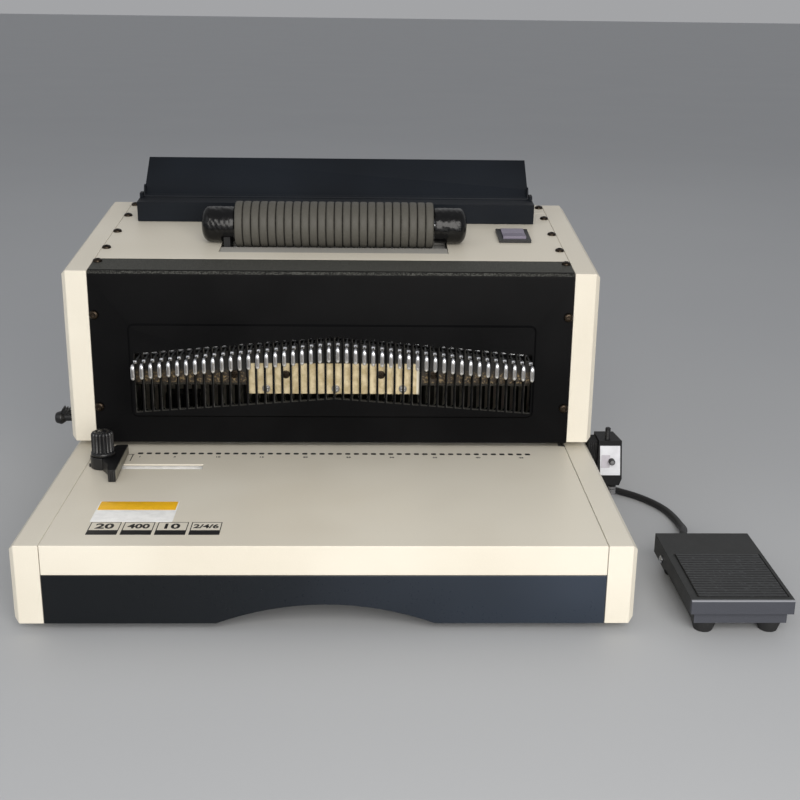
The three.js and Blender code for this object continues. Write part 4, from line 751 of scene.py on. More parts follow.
def pedal_cord():
    """One round cord from the gland at the back, through the coil behind the machine and round
    the right side to the pedal. The points are the part's own."""
    turns = coil_line()
    bend = 2 * CORD_RADIUS
    gland_end = BACK_FACE + GLAND_LENGTH + GAP
    relief_end = RELIEF_TIP + GAP
    rear = [(GLAND[0], gland_end, GLAND[1]), (GLAND[0], gland_end + bend, GLAND[1]),
            (40, 402, 21), (42.5, 418, 18), (50, 434, 14.5), (64, 446.3, 11.7),
            (82, 450.9, 10.3), (100, 451.6, 9.9), turns[0] - [bend, 0, 0]]
    front = [turns[-1] + [bend, 0, 0], (140, 446.9, 3.6), (163, 440.5, 3.1), (182, 427, 2.8),
             (195, 406, 2.75), (200, 382, 2.75), (200.5, 350, 2.75), (200.5, 315, 2.75),
             (200.8, 290, 2.75), (202.3, 270, 2.75), (206.5, 250.5, 2.75), (214.5, 237.3, 2.75),
             (225.5, 227, 2.75), (237.5, 216, 2.75), (247.5, 202.5, 2.75), (254.2, 188, 2.75),
             (257.6, 172, 2.8), (258.4, 157, 3.6), (257.3, 144.5, 6.3), (254.2, 132, 10.2),
             (RELIEF[0], relief_end + bend, RELIEF[1]), (RELIEF[0], relief_end, RELIEF[1])]
    route = smooth_route(np.concatenate([rear, turns, front]), 2.4)
    capped = np.concatenate([route[:1], route, route[-1:]])
    capped[0] += (route[0] - route[1]) * 0.001
    capped[-1] += (route[-1] - route[-2]) * 0.001
    girth = np.full(len(capped), CORD_RADIUS)
    girth[0] = girth[-1] = 0.001
    made = piece("pedal_cord", swept(capped, girth, girth, 14), CORD_RUBBER, "machine",
                 ["pedal_cord_rear", "pedal_cord_coil", "pedal_cord_front"])
    return made, (route + SHIFT) * MM


def strain_relief():
    """A tapered boot, ringed by grooves: the radius falls along it and dips 5 times by a
    raised cosine."""
    x, z = RELIEF
    t = np.linspace(0, 1, 61)
    along = 98.6 + t * (RELIEF_TIP - 98.6)
    radius = 4.3 - 1.0 * t - 0.55 * dips(t, 5.5) ** 0.6 * (t < 0.97)
    rows = [(88.8, 0), (88.8, 2.2), (92.1, 2.2), (92.1, 3.0), (95.4, 3.0), (95.4, 4.0),
            (95.8, 4.4), (98.2, 4.4), *zip(along, radius), (RELIEF_TIP, 0)]
    return moved(turned(rows, 32, "y"), (x, 0, z))


def tie_band():
    """A flat band round the bundle: a rounded box outline, given width across the turns."""
    sheet, half_width = 0.8, 2.5
    clear = CORD_RADIUS + GAP
    r0, r1 = COIL_INNER - clear, COIL_INNER + COIL_PITCH * (COIL_DOWN - 0.5) + clear
    z0, z1 = COIL_LOW - clear, COIL_LOW + COIL_LAYER + clear
    outside = box_outline(r0 - sheet, r1 + sheet, z0 - sheet, z1 + sheet, 2.4, 7)
    inside = box_outline(r0, r1, z0, z1, 1.8, 7)
    loop = np.stack([outside, outside, inside, inside])
    width = half_width * np.array([1, -1, -1, 1])[:, None].repeat(len(outside), 1)
    points = np.stack([loop[..., 0], width, loop[..., 1]], -1)
    lock = slab(box_outline(r1 - 3, r1 + sheet, -3.6, 3.6, 0.8), z1 + 0.2, z1 + 1.6, 0.3)
    shape = together((points.reshape(-1, 3), wrapped_grid(4, len(outside), closed=True)), lock)
    a = np.radians(TIE_TURN)
    turn = np.array([[np.cos(a), np.sin(a), 0], [-np.sin(a), np.cos(a), 0], [0, 0, 1]])
    return shape[0] @ turn + [*COIL_CENTRE, 0], shape[1]


def pedal_feet():
    """Four rubber buttons under the sole: each narrows towards the floor with a rounded rim."""
    rows = [(0.0, 0), (0.0, 3.6), (0.5, 4.0), (0.5, 4.7), (0.15, 5.1), (0.3, 5.8), (1.0, 6.1),
            (7.0, 8.0), (7.7, 8.2), (8.0, 8.0), (8.0, 0)]
    button = turned(rows, 40)
    x0, x1, y0, y1 = 227.2, 285.0, -3.5, 91.8
    sole = slab(box_outline(x0 + 4, x1 - 4, y0 + 4, y1 - 4, 2), 7.2, 8.0, 0.2)
    places = [(x, y, 0) for x in (x0 + 8.5, x1 - 8.5) for y in (y0 + 8.5, y1 - 8.5)]
    return together(sole, copies(button, places))


def pedal_mat():
    """The tread: along the pedal, 18 ribs rise by a power of a sine, and the height falls to the
    bed at the rounded rim."""
    x0, x1, y0, y1, low, high = 229.6, 285.4, -1.3, 61.1, PEDAL_TOP - 0.9, PEDAL_TOP
    rise, ribs = 0.9, 18
    across = rounded([(x0, low), (x0, high), (x1, high), (x1, low)], 0.5, 4)
    along = np.linspace(y0, y1, ribs * 10 + 1)
    wave = np.abs(np.sin((along - y0) / (y1 - y0) * np.pi * ribs)) ** 0.7
    share = (across[:, 1] - low) / (high - low)
    inner = np.clip(np.minimum(across[:, 0] - x0, x1 - across[:, 0]) / 1.2, 0, 1)
    z = low + share * (high - low) + rise * wave[:, None] * inner * (share > 0.99)
    points = np.stack([np.broadcast_to(across[:, 0], z.shape),
                       np.broadcast_to(along[:, None], z.shape), z], -1)
    rows, columns = z.shape
    faces = wrapped_grid(rows, columns)
    faces.append(list(range(columns)))
    faces.append(list(range((rows - 1) * columns, rows * columns))[::-1])
    # how high each point stands on its rib: the finish turns it into painted light and shade
    crest = ((z - high) / rise).clip(0, 1).ravel()
    return (points.reshape(-1, 3), faces), crest


def hinge_pin():
    """A steel pin along X with a domed head at its left end."""
    x0, x1, y, z, radius, head = 222.2, 288.2, 71.5, 16, 2.0, 2.6
    rows = [(x0, 0), (x0 + 0.15, head * 0.5), (x0 + 0.5, head * 0.85), (x0 + 1.0, head),
            (x0 + 1.7, head), (x0 + 1.7, radius), (x1 - 0.4, radius), (x1, radius - 0.4), (x1, 0)]
    return moved(turned(rows, 32, "x"), (0, y, z))


cord, cord_path = pedal_cord()
relief = piece("pedal_cord_boot", strain_relief(), RUBBER, "machine", ["pedal_strain_relief"])
tie = piece("cord_tie_band", tie_band(), PLASTIC, "machine", ["coil_tie"])
eased("pedal_base", PEDAL_PLASTIC, 0.5)
eased("pedal_plate", PEDAL_PLASTIC, 0.9, 3)
mat_shape, mat_crest = pedal_mat()
piece("pedal_tread", mat_shape, MAT_RUBBER, "pedal", ["pedal_mat"], values={"crest": mat_crest})
piece("pedal_hinge_pin", hinge_pin(), STEEL, "machine", ["pedal_pin"])
piece("pedal_rubber_feet", pedal_feet(), RUBBER, "machine", ["pedal_feet"])


# ---- base, table and drawer
def machine_foot():
    """A turned rubber foot with a rounded rim and a hollow in its sole."""
    return turned([(0.8, 0), (0.8, 5.0), (0.0, 5.6), (0.0, 7.4), (0.5, 8.0), (5.4, 9.9), (6, 10),
                   (6, 0)], 48)


for end, y in (("front", FOOT_Y), ("rear", BACK_FACE - FOOT_Y)):
    for side, x in (("left", -FOOT_X), ("right", FOOT_X)):
        piece(f"rubber_foot_{end}_{side}", moved(machine_foot(), (x, y, 0)), RUBBER, "machine",
              [f"foot_{end}_{side}"])

eased("base_plate", PLATE_STEEL, 0.3)
for side in ("left", "right"):
    eased(f"base_side_cover_{side}", IVORY, 0.45, 3)
eased("table_plate", IVORY, 0.6, 3)
eased("guide_rail", BRIGHT_STRIP, 0.2)
eased("chip_drawer", GLOSS_COAT, 0.4)


def mark(x0, x1, y0, y1, corner, steps=3, proud=0.06, sunk=0.02, ease=0.02, rings=2):
    """A print on the table: a rounded box that starts in the paint and ends a hair proud of it."""
    outline = box_outline(x0, x1, y0, y1, corner, steps)
    return slab(outline, TABLE_TOP - sunk, TABLE_TOP + proud, ease, rings)


def table_marks():
    """A dash before each hole, a bracket for the paper's corner and figures under every fifth
    dash."""
    shapes = []
    for i, x in enumerate(HOLE_X + 0.6):
        shapes.append(mark(x - 1.9, x + 1.9, 159.0, 162.3, 1.1, 4))
        if i == 0 or (i + 1) % 5 == 0:
            shapes.append(lettered(str(i + 1), 3.2, (x + 0.7, 153.6), 0.06, 1.1))
    return together(*shapes, mark(-147.9, -142.9, 158.0, 158.7, 0.2),
                    mark(-144.1, -143.4, 144.8, 157.8, 0.2))


def capacity_boxes():
    """Four boxes in outline, each with a bare dark bar along its foot and plain figures over it."""
    proud = 0.07
    low, bar, high, width, pitch, line = 16.5, 23.5, 35.9, 19.0, 21.0, 0.55
    shapes = []
    texts = (("20", 10.5, 1.1), ("400", 9.5, 0.95), ("10", 10.5, 1.1), ("2/4/6", 8.0, 0.95))
    for i, (figures, size, wide) in enumerate(texts):
        x = -147.7 + i * pitch
        for x0, x1, y0, y1 in ((x, x + width, low, bar), (x, x + width, high - line, high),
                               (x, x + line, bar, high), (x + width - line, x + width, bar, high)):
            shapes.append(mark(x0, x1, y0, y1, 0.15, proud=proud))
        shapes.append(lettered(figures, size, (x + width / 2, (bar + high) / 2), proud, wide))
    return together(*shapes)


piece("table_dashes", table_marks(), INK)
piece("capacity_boxes", capacity_boxes(), INK)
piece("notice_foot", mark(-149.1, -97.4, 36.2, 70.1, 1.0, 5, 0.08, 0.02, 0.04, 4), WHITE)
piece("notice_top", mark(-148.3, -98.2, 55.4, 69.4, 0.6, 5, 0.14, -0.06, 0.03, 4), YELLOW)

# ---- tower covers, panel and screws
for node, finish, edge in (("tower_side_cover", IVORY, 0.45), ("side_frame", PLATE_STEEL, 0.2)):
    for side in ("left", "right"):
        eased(f"{node}_{side}", finish, edge, 3 if finish is IVORY else 2)
for node, finish in (("front_panel", BLACK_COAT), ("top_cover", IVORY), ("rear_cover", IVORY)):
    eased(node, finish, 0.3, reshape=screws_laid_flat)


def screw_head():
    """A domed head with a six-sided socket: the crown is a quarter ellipse, and the socket's
    radius is its half width over the cosine of the angle from the nearest flat."""
    crown = arc(0.35, 1.45, SCREW_CROWN - 0.35, SCREW_RADIUS - 1.45, 7)
    points, faces = turned([(0, 0), (0, SCREW_RADIUS), *crown, (SCREW_CROWN - 0.15, 1.3),
                            (0.7, 1.3), (0.55, 0)], 36)
    angle = np.arctan2(points[:, 1], points[:, 0])
    flat = 0.9 / np.cos((angle + np.pi / 6) % (np.pi / 3) - np.pi / 6)
    radius = np.hypot(points[:, 0], points[:, 1])
    share = np.where(np.isclose(radius, 1.3), flat, 1.0)
    points[:, :2] *= share[:, None]
    return points, faces


def forward_facing(shape):
    """Turned from Z to -Y, towards the front."""
    x, y, z = shape[0].T
    return np.stack([x, -z, y], 1), shape[1]


head = screw_head()
lid_screws = [on_top(moved(head, (x, d, 0))) for d in TOP_SCREWS_D for x in (-SCREW_X, SCREW_X)]
panel_screws = [moved(forward_facing(head), (x, PANEL_FACE, z))
                for z in PANEL_SCREWS_Z for x in (-SCREW_X, SCREW_X)]
piece("cover_screws", together(*lid_screws, *panel_screws), SCREW_STEEL)

# ---- punching head
def bolts_laid_flat(points):
    """The beam's plain bolt heads are let down onto its face."""
    return np.column_stack([points[:, 0], np.maximum(points[:, 1], BEAM_FACE), points[:, 2]])


eased("die_block", DIE_METAL, 0.25)
eased("stripper_plate", PLATE_STEEL, 0.25)
eased("punches", OILED_STEEL, 0)
eased("punch_beam", BEAM_METAL, 0.3, reshape=bolts_laid_flat)
eased("eccentric_shaft", STEEL, 0.3)
eased("gear_motor", MOTOR, 0.4)
eased("back_stop", STEEL, 0.2)


def beam_bolt():
    """A low cheese head with a cross recess: the face sinks where a point is near either arm.
    It gives the shape and the painted highlight of each point, 1 within 1.5 mm of the middle."""
    rows = [(0, 0), (0, 2.95), (1.0, 2.95), *arc(1.0, 2.6, 0.35, 0.35, 4), (1.38, 1.9),
            (1.4, 1.3), (1.4, 0.8), (1.4, 0.35), (1.4, 0)]
    points, faces = turned(rows, 48)
    arm = np.minimum(np.abs(points[:, 0]), np.abs(points[:, 1]))
    sunk = (points[:, 2] > 1.35) & (arm < 0.42) & (np.abs(points[:, :2]).max(1) < 1.7)
    points[:, 2] -= 0.55 * sunk
    middle = np.clip(1.9 - np.hypot(points[:, 0], points[:, 1]), 0, 0.4) / 0.4
    return (points, faces), np.where(points[:, 2] > 1.3, middle, 0)


bolt, bolt_highlight = beam_bolt()
bolt = forward_facing(bolt)
# the bright bolts carry a painted highlight in their middle
for name, xs, z, steel in (("dark", (-71, -34, 35, 73), 113.5, SCREW_STEEL),
                           ("bright", (-48.4, 2, 51), 102.8, PIN_STEEL)):
    piece(f"beam_bolts_{name}", copies(bolt, [(x, BEAM_FACE, z) for x in xs]), steel, "beam",
          smooth=25, values={"crest": np.tile(bolt_highlight, len(xs))})


def pull_pin(x, z):
    """One pull pin: a flat bar carried up the leg, round a bend and back to a thin neck, a ball
    and the rod through the slot. It gives the shape and the painted highlight of each point:
    1 on the rims and the bend, 0 in the hollow down the leg's middle and on the neck."""
    y = PULL_FRONT + PULL_HALF_DEPTH
    foot = z - PULL_DROP
    bend = 1.7
    rows = [(y, foot + 1.4 * (1 - np.cos(a)), 0.02 + 1.38 * np.sin(a), 0.4 + 0.85 * np.sin(a), 0.7)
            for a in np.linspace(0, np.pi / 2, 5)]
    rows += [(y, foot + 2.2, 1.4, 1.25, 0.3), (y, foot + 3.2, 1.4, 1.25, 0.0),
             (y, z - 3.6, 1.4, 1.25, 0.0), (y, z - 2.4, 1.4, 1.25, 0.5), (y, z - bend, 1.4, 1.25, 1.0)]
    rows += [(y + bend * (1 - np.cos(a)), z - bend + bend * np.sin(a), 1.4 - 0.3 * np.sin(a),
              1.25, 1.0) for a in np.linspace(0, np.pi / 2, 6)[1:-1]]
    rows += [(y + 2.3, z, 0.9, 1.1, 0.6), (y + 3.2, z, 0.6, 0.6, 0.1), (y + 8.7, z, 0.6, 0.6, 0.1)]
    rows += [(y + 10.3 + 1.48 * np.sin(a), z, 1.48 * np.cos(a), 1.48 * np.cos(a), 1.0)
             for a in np.linspace(-1.15, 1.15, 7)]
    rows += [(y + 12.0, z, 0.6, 0.6, 0.8), (PULL_TAIL - 0.3, z, 0.6, 0.6, 0.8),
             (PULL_TAIL - 0.29, z, 0.02, 0.02, 0.8)]
    ys, zs, widths, heights, bright = np.array(rows).T
    path = np.stack([np.full(len(rows), x), ys, zs], 1)
    path[0, 2] -= 0.01
    squared = np.where(widths > 1.3, 0.6, 1.0)
    angle = np.linspace(0, 2 * np.pi, PIN_SIDES, endpoint=False)
    rim = np.maximum(bright[:, None], np.abs(np.cos(angle)) ** (2 * squared[:, None]))
    return swept(path, widths, heights, PIN_SIDES, [1, 0, 0], squared), rim.ravel()


def pull_height(x):
    return PULL_LOW + PULL_RISE * np.clip(1 - np.abs(x - ROW_CENTRE) / HALF_ROW, 0, 1)


def group_rail(xs):
    """The bar that joins a group's pins inside the beam, along the same roof line."""
    x = np.linspace(xs[0], xs[-1], 9)
    path = np.stack([x, np.full(9, PULL_TAIL - 1.2), pull_height(x)], 1)
    shape = swept(path, 1.2, 1.3, 8)
    ends = [list(range(8)), list(range(64, 72))[::-1]]
    return shape[0], shape[1] + ends


for part, xs in enumerate(np.split(HOLE_X, PULL_GROUPS[1:]), 1):
    pins, rims = zip(*(pull_pin(x, pull_height(x)) for x in xs))
    rail = group_rail(xs)
    # painted highlight of each point: 0.8 on the rail, and each pin's own
    bright = np.concatenate([np.full(len(rail[0]), 0.8), *rims])
    piece(f"pull_pin_group_{part}", together(rail, *pins), PIN_STEEL, f"pins_{part}",
          [f"pull_pins_{part}"], values={"crest": bright})


# ---- coil roller
def roller_sleeve():
    """Rubber with flat-topped ribs: between two grooves the radius follows
    (1 - |s| ** 3.6) ** 0.5, with s from -1 to 1."""
    s = np.linspace(-1, 1, 12)[:-1]
    rib = (1 - np.abs(s) ** 3.6) ** 0.5
    pitch = 2 * SLEEVE_HALF / SLEEVE_RIBS
    along = (np.arange(SLEEVE_RIBS)[:, None] + (s + 1) / 2).ravel() * pitch - SLEEVE_HALF
    height = np.tile(rib, SLEEVE_RIBS)
    radius = SLEEVE_VALLEY + (SLEEVE_RADIUS - SLEEVE_VALLEY) * height
    rows = [(-SLEEVE_HALF, SLEEVE_BORE), *zip(along, radius), (SLEEVE_HALF, SLEEVE_VALLEY),
            (SLEEVE_HALF, SLEEVE_BORE), (-SLEEVE_HALF, SLEEVE_BORE)]
    # how high each point stands on its rib: the finish turns it into painted light and shade
    crest = np.repeat(np.concatenate([[0], height, [0, 0, 0]]), 96)
    return on_top(moved(turned(rows, 96, "x"), (0, ROLLER_D, ROLLER_H))), crest


def crinkled(points):
    """Pulls a housing's skin in towards the roller's axis by up to half a millimetre. The folds
    are the sum of three waves along and round it, and fade towards both ends."""
    x, across, up = points.T
    angle = np.arctan2(up, across)
    run = np.abs(x) - HOUSING_IN
    folds = (np.sin(0.9 * run + 2.2 * np.sin(3 * angle)) * np.cos(7 * angle + 0.4 * run)
             + 0.6 * np.sin(1.7 * run - 11 * angle) + 0.4 * np.cos(2.9 * run + 5 * angle))
    fade = np.clip(run / 2, 0, 1) * np.clip((HOUSING_OUT - np.abs(x)) / 3, 0, 1)
    pull = 0.13 * (folds + 2.0) * fade
    radius = np.maximum(np.hypot(across, up), 1e-6)
    share = 1 - pull / radius * (radius > 6)
    return np.stack([x, across * share, up * share], 1)


def roller_housing(side):
    """A domed cap over one end of the roller: straight, then a quarter ellipse down to a small
    flat end. The left one is open below, where the belt leaves it."""
    dome = HOUSING_OUT - DOME_LENGTH
    straight = [*np.linspace(*BELT_MOUTH, 7), *np.linspace(BELT_MOUTH[1], dome, 11)[1:-1]]
    rows = [(HOUSING_IN, HOUSING_BORE), (HOUSING_IN, HOUSING_RADIUS - 0.6),
            *((x, HOUSING_RADIUS) for x in straight),
            *arc(dome, HOUSING_RADIUS - DOME_RADIUS, DOME_LENGTH, DOME_RADIUS, 12),
            (HOUSING_OUT + 0.02, 0.05)]
    points, faces = turned(rows, 96, "x")
    points = crinkled(points)
    if side < 0:
        points = points * [-1, -1, 1]
        faces = np.array(faces)
        middle = points[faces].mean(1)
        below = np.abs(np.arctan2(middle[:, 1], -middle[:, 2])) < np.radians(60)
        run = np.abs(middle[:, 0])
        mouth = below & (run > BELT_MOUTH[0]) & (run < BELT_MOUTH[1])
        mouth &= np.hypot(middle[:, 1], middle[:, 2]) > 8
        faces = faces[~mouth].tolist()
    return on_top((points + [0, ROLLER_D, ROLLER_H], faces))


sleeve_shape, sleeve_crest = roller_sleeve()
piece("ribbed_roller", sleeve_shape, SLEEVE_RUBBER, "roller", ["roller_sleeve"], smooth=60,
      values={"crest": sleeve_crest})
for side, name in ((-1, "left"), (1, "right")):
    cap = piece(f"roller_cap_{name}", roller_housing(side), VINYL, "machine",
                [f"roller_housing_{name}"], closed=False, smooth=50)
    wall = cap.modifiers.new("wall", "SOLIDIFY")
    wall.thickness = HOUSING_WALL * MM
    wall.offset = -1

eased("roller_well", TRAY, 0.3)
eased("roller_shaft", STEEL, 0)
eased("roller_belt", RUBBER, 0.2)
eased("motor_pulley", STEEL, 0)
eased("roller_motor", MOTOR, 0.4)

# ---- coil rest and switch
def flap_form(points):
    """The flap's upper edge is drawn in along the flap: 1.8 mm forwards and 1.45 mm down."""
    return points - np.outer(points[:, 2] > FLAP_EDGE, [0, 1.8, 1.45])


eased("coil_rest_channel", FLAP_COAT, 0.35)
eased("coil_rest_flap", FLAP_COAT, 0.3, reshape=flap_form)
eased("switch_bezel", PLASTIC, 0.5, 3)
eased("switch_rocker", PADDLE, 0.5, 3)


def flap_rivets():
    """Domed rivet heads where the flap's pins come through the channel's ears."""
    right = turned([(0, 0), (0, 2.4), *arc(0.2, 0, 0.7, 2.4, 6)], 28, "x")
    left = (right[0] * [-1, -1, 1], right[1])
    return together(*(on_top(moved(rivet, (x, *FLAP_AXIS)))
                      for rivet, x in ((right, FLAP_END), (left, -FLAP_END))))


def hinge_barrel():
    """The flap's rolled lower edge: a barrel round the hinge axis between the ears, with a seam
    groove where the sheet closes on itself, the radius dipping at one angle."""
    half = [(BARREL_END - 0.2, 1.9), (BARREL_END, 1.7), (BARREL_END, 0)]
    points, faces = turned([(-x, r) for x, r in half[::-1]] + half, 40, "x")
    angle = np.arctan2(points[:, 2], points[:, 1])
    dip = 1 - 0.12 * np.exp(-((angle + 2.4) / 0.16) ** 2)
    points[:, 1:] *= dip[:, None]
    return on_top(moved((points, faces), (0, *FLAP_AXIS)))


piece("flap_rivets", flap_rivets(), STEEL)
piece("flap_hinge_barrel", hinge_barrel(), FLAP_COAT, "flap")

# ---- side guide, margin knob, control box
def guide_form(points):
    """The guide's top falls by up to 1.8 mm over the last 25 mm towards its tail, and its nose
    swings 1.6 mm to the right and 1 mm back."""
    x, y, z = points.T.copy()
    z -= 1.8 * np.clip((y - 135) / 25, 0, 1) * (z > TABLE_TOP + 5)
    nose = np.clip((125 - y) / 20, 0, 1)
    return np.stack([x + 1.6 * nose, y + nose, z], 1)


def ridges(low, high, dome, radius, sides, y, xs):
    """Upright round ridges side by side, each rounded at its top."""
    rows = [(low, 0), (low, radius), (high, radius), *arc(high, 0, dome, radius, 5)]
    return copies(turned(rows, sides), [(x, y, 0) for x in xs])


def guide_paper_face():
    """A thin grey strip on the side that the paper meets. Its upper edge falls towards the tail,
    and it turns with the guide's side: 1.6 mm to the right over its length."""
    tail, nose, low, high = 159.2, 105.0, TABLE_TOP + 0.8, TABLE_TOP + 8.1
    outline = rounded([(nose, low), (tail, low), (tail, high - 1.7), (nose, high)], 0.8, 4,
                      closed=True)
    points, faces = slab(outline, -147.6, -147.1, 0.15, 3, "x")
    points[:, 0] += 1.6 * (tail - points[:, 1]) / (tail - nose)
    return points, faces


eased("side_guide", GRIP_PLASTIC, 0.8, 3, guide_form)
piece("guide_nose_ridges", ridges(TABLE_TOP + 0.6, TABLE_TOP + 7.4, 0.6, 0.75, 20, 103.6,
                                  (-147.0, -149.8)), GRIP_PLASTIC, "guide")
piece("guide_paper_face", guide_paper_face(), GUIDE_PLASTIC, "guide")


def guide_grip():
    """The guide's clamping knob: a nut under the table, a stud, a flange and a tall fluted grip
    whose 20 flutes end in lobes round a domed crown."""
    seat = TABLE_TOP + GAP + GUIDE_THICKNESS + GAP
    nut = TABLE_TOP - SHEET - GAP
    t = np.linspace(0, np.pi / 2, 6)
    crown = [(seat + 14.6 + 2.6 * np.sin(a), 4.9 + 2.8 * np.cos(a), 0.9 * np.cos(a) + 0.1)
             for a in t]
    rows = [(nut - 3, 0), (nut - 3, 6.6), (nut - 2.6, 7), (nut - 0.4, 7), (nut, 6.6), (nut, 2.5),
            (seat, 2.5), (seat, 8.0), (seat + 0.3, 8.3), (seat + 2.1, 8.3), (seat + 2.4, 8.0),
            (seat + 2.6, 7.7, 0.2), (seat + 3.2, 7.7, 1.0), *crown, (seat + 17.0, 4.2),
            (seat + 16.9, 3.2), (seat + 17.3, 2.8), (seat + 17.4, 0)]
    return moved(turned(rows, 200, "z", 20, 0.35), (*GUIDE_KNOB, 0))


def margin_knob():
    """The margin knob on the left side: a rounded head below the axis, a neck, and four leaning
    ribs on a web that stands above it, with the shaft and crank inside."""
    wall, tip, inner, (y, axis) = COVER_LEFT - GAP, COVER_LEFT - 18.5, -161.5, MARGIN_AXIS
    head_rows = [(tip, 0), (tip, 2.4), (tip + 0.25, 3.3), (tip + 0.9, 4.0), (tip + 2.4, 4.5),
                 (tip + 3.6, 4.85), (tip + 4.4, 5.0), (tip + 5.2, 4.7), (tip + 6.6, 3.7),
                 (tip + 7.6, 3.1), (tip + 8.0, 0)]
    neck = [(tip + 3, 0), (tip + 3, 3.1), (wall - 2.6, 3.1), (wall - 2.3, 4.2), (wall - 0.3, 4.4),
            (wall, 4.1), (wall, 0)]
    shaft = [(wall - 1, 0), (wall - 1, 3.2), (inner - 2, 3.2), (inner - 2, 4.6), (inner, 4.6),
             (inner, 0)]
    ribs = [(-204.6, 76.2, -202.6, 79.6), (-202.8, 74.4, -200.6, 79.0), (-200.7, 74.2, -198.9, 78.4),
            (-198.8, 74.2, -197.7, 76.6)]
    shapes = [slab(rounded([(z0, x0), (z1, x1), (z1 - 0.5, x1 + 1.2), (z0, x0 + 1.2)], 0.4, 4,
                           closed=True), y - 3.2, y + 3.2, 0.35, 3, "y")
              for x0, z0, x1, z1 in ribs]
    web = rounded([(72.5, -204.4), (76.4, -204.2), (78.6, -202.2), (77.6, -198.4), (72.5, -197.2)],
                  0.6, 4, closed=True)
    shapes.append(slab(web, y - 2.2, y + 2.2, 0.3, 3, "y"))
    crank = turned([(inner - 1, 0), (inner - 1, 1.4), (inner + 4, 1.4), (inner + 4, 0)], 16, "x")
    return together(moved(turned(head_rows, 48, "x"), (0, y, axis - 2.1)),
                    moved(turned(neck, 48, "x"), (0, y, axis - 1.6)),
                    moved(turned(shaft, 48, "x"), (0, y, axis)), *shapes,
                    moved(crank, (0, y - 2, axis)))


piece("guide_clamp_knob", guide_grip(), GRIP_PLASTIC, "guide_clamp", ["guide_knob"], smooth=50)
piece("margin_knob_grip", margin_knob(), GRIP_PLASTIC, "margin_knob", ["depth_knob"], smooth=50)


def box_form(points):
    """The control box leans: below its top it moves to the right by 6 hundredths of the drop,
    apart from its left wall and its gland. Its top corner at the back right is drawn in."""
    x, y, z = points.T.copy()
    lean = BOX_LEAN * (BOX_TOP - z) * np.clip((x - BOX_LEFT) / 5, 0, 1) * (z > 25.5)
    x += lean - 2.8 * ((z > 60) & (x > 214) & (y > 195))
    return np.stack([x, y, z], 1)


def plate_form(points):
    """The box's faceplate leans with it."""
    return points + np.outer(BOX_LEAN * (BOX_TOP - points[:, 2]), [1, 0, 0])


def gland_sleeve():
    """A grey ribbed sleeve on the box's gland: its radius dips by a raised cosine 3 times."""
    t = np.linspace(0, 1, 25)
    radius = 2.95 - 0.25 * dips(t, 3) * (t > 0.1) * (t < 0.9)
    rows = [(17.3, 0), (17.0, 2.5), *zip(17.2 + t * 6.2, radius), (23.6, 2.6), (23.6, 0)]
    return moved(turned(rows, 40), BOX_GLAND)


eased("control_box", BOX_PLASTIC, 0.5, 3, box_form)
piece("bracket_ridges", ridges(33.5, 58.6, 0.5, 0.55, 16, 184.0, (191.8, 193.3, 194.8, 196.3, 197.6)),
      GRIP_PLASTIC)
piece("bracket_screw", moved(turned([(182.9, 0), (182.9, 0.7), (183.3, 1.1), (184.6, 1.1),
                                     (184.6, 0)], 24, "y"), (195.3, 0, 44.2)), STEEL)
piece("gland_sleeve", gland_sleeve(), GREY_PLASTIC)
eased("control_faceplate", FACEPLATE, 0.15, reshape=plate_form)


def speed_grip():
    """A small ribbed knob on the control box: 14 flutes round a domed cap, and its shaft."""
    front, back = SPEED_FRONT, BOX_FACE - GAP
    rows = [(front, 0), (front, 1.4), (front + 0.3, 1.9), (front + 0.8, 2.3, 0.25),
            (back - 0.6, 2.3, 0.25), (back - 0.5, 2.3), (back, 2.2), (back, 1.3), (185, 1.3),
            (185, 0)]
    return moved(turned(rows, 84, "y", 14, 0.7), SPEED_AXIS)


def start_plunger():
    """The start button: a round plunger with ring grooves, where the radius dips by a raised
    cosine, and a dished, rounded top."""
    low, top = BOX_TOP - 7, BOX_TOP + 9.1
    t = np.linspace(0, 1, 41)
    rings = 2.05 - 0.25 * dips(t, 4.5)
    rows = [(low, 0), (low, 1.6), (low + 0.2, 1.85), (64.4, 1.85), *zip(64.6 + t * 5.6, rings),
            (top - 0.6, 2.05), (top - 0.15, 1.6), (top, 1.2), (top - 0.2, 0.6), (top - 0.25, 0)]
    return moved(turned(rows, 32), START_AXIS)


piece("speed_knob_grip", speed_grip(), PLASTIC, "speed", ["speed_knob"])
piece("start_plunger", start_plunger(), PLASTIC, "start", ["start_button"])
# painted shadow: a grey patch on the faceplate, to the left of the speed knob
piece("speed_knob_painted_shadow", slab(box_outline(40.6, 50.8, 200.6, 207.2, 0.5), BOX_FACE - 0.15,
                               BOX_FACE + 0.05, 0.05, 2, "y"), PAINTED_KNOB_SHADOW)
cap_rows = np.array([(-0.05, 0), (-0.05, 1.35), (0.1, 1.6), (0.5, 1.6), (0.5, 0)]) + [SPEED_FRONT, 0]
piece("speed_knob_cap", moved(turned(cap_rows, 32, "y"), SPEED_AXIS), GREY_PLASTIC, "speed")

# ---- back of the machine
eased("power_inlet", PLASTIC, 0.4)
eased("control_board", BOARD, 0.2)


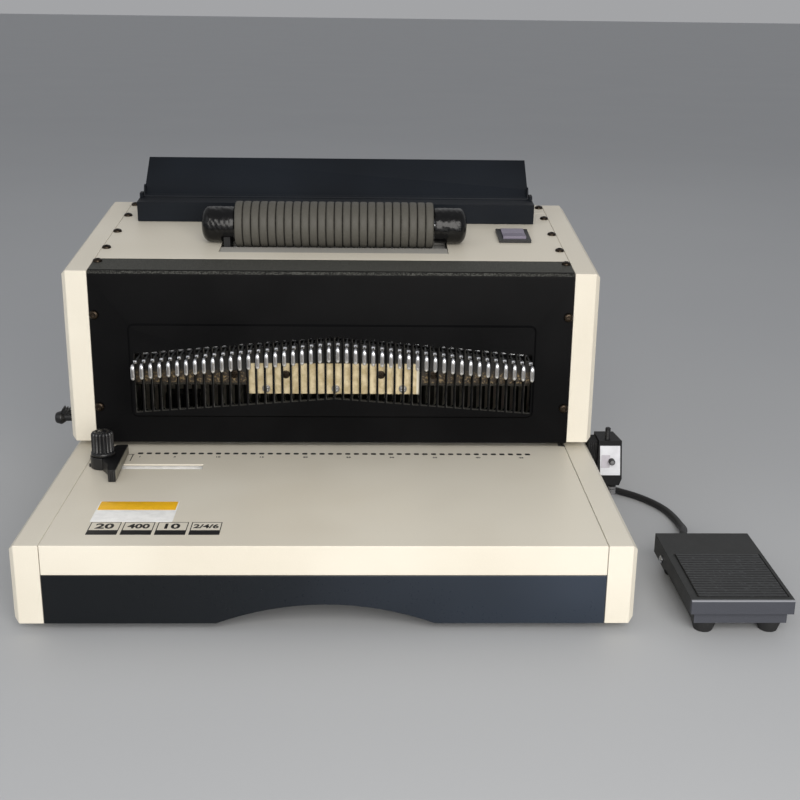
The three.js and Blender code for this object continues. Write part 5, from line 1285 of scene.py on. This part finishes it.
def cord_gland():
    """A hexagonal gland with a domed, ringed nose for the pedal cord."""
    x, z = GLAND
    six = np.radians(np.arange(6) * 60.0 + 30)
    hexagon = rounded(np.stack([8 * np.cos(six), 8 * np.sin(six)], 1), 0.6, 4, closed=True)
    nut = slab(hexagon, BACK_FACE, BACK_FACE + 5, 0.5, 4, "y")
    t = np.linspace(0, 1, 49)
    nose = 5.2 - 1.5 * t ** 1.5 - 0.4 * dips(t, 4.5) * (t < 0.95)
    rows = [(BACK_FACE - 9, 0), (BACK_FACE - 9, 6.2), (BACK_FACE, 6.2), (BACK_FACE, 5.2),
            *zip(BACK_FACE + 5 + t * (GLAND_LENGTH - 5), nose), (BACK_FACE + GLAND_LENGTH, 0)]
    return moved(together(nut, turned(rows, 40, "y")), (x, 0, z))


def inlet_blades():
    """Three flat contact blades in the power inlet, with rounded ends."""
    floor = BACK_FACE + 3 - 12
    shapes = []
    for x, z in ((-7, -3), (7, -3), (0, 3)):
        outline = box_outline(z - 2.0, z + 2.0, x - 1.05, x + 1.05, 0.7, 4)
        shapes.append(moved(slab(outline, floor - 1, floor + 9.3, 0.5, 4, "y"), INLET))
    return together(*shapes)


piece("cord_gland_nut", cord_gland(), RUBBER, "machine", ["cord_gland"])
piece("inlet_blades", inlet_blades(), STEEL)


# -------- studio
def studio_floor():
    """One flat sheet of pale grey, much wider than the view."""
    a = 40.0
    mesh = bpy.data.meshes.new("studio_floor")
    mesh.from_pydata([(-a, -a, 0), (a, -a, 0), (a, a, 0), (-a, a, 0)], [], [(0, 1, 2, 3)])
    f = Finish("pale_floor", "ivory_paint", 0.6)
    cloud = f.noise(400, 2)
    f.feed("Base Color", f.mix(cloud, tone(178, 180, 183), tone(184, 186, 188)))
    mesh.materials.append(f.material)
    added("studio_floor", mesh)


def studio_light():
    """A pale room, one large soft box low in front on the right, a weak one on the left and
    one behind."""
    world = bpy.data.worlds.new("studio")
    world.use_nodes = True
    back = world.node_tree.nodes["Background"]
    back.inputs["Color"].default_value = tone(238, 239, 242)
    back.inputs["Strength"].default_value = 0.43
    bpy.context.scene.world = world
    soft_lamp("key", (0.22, -1.3, 0.62), (0, 0, 0.1), 1.0, 18.5, (1.0, 0.97, 0.93))
    soft_lamp("fill", (-1.5, -1.1, 0.9), (0, 0, 0.1), 1.5, 5, (0.94, 0.97, 1.0))
    soft_lamp("back", (0.3, 1.4, 1.5), (0, 0.1, 0.15), 1.4, 2, (1.0, 0.99, 0.97))


studio_floor()
studio_light()
bpy.context.scene.view_settings.view_transform = "Standard"
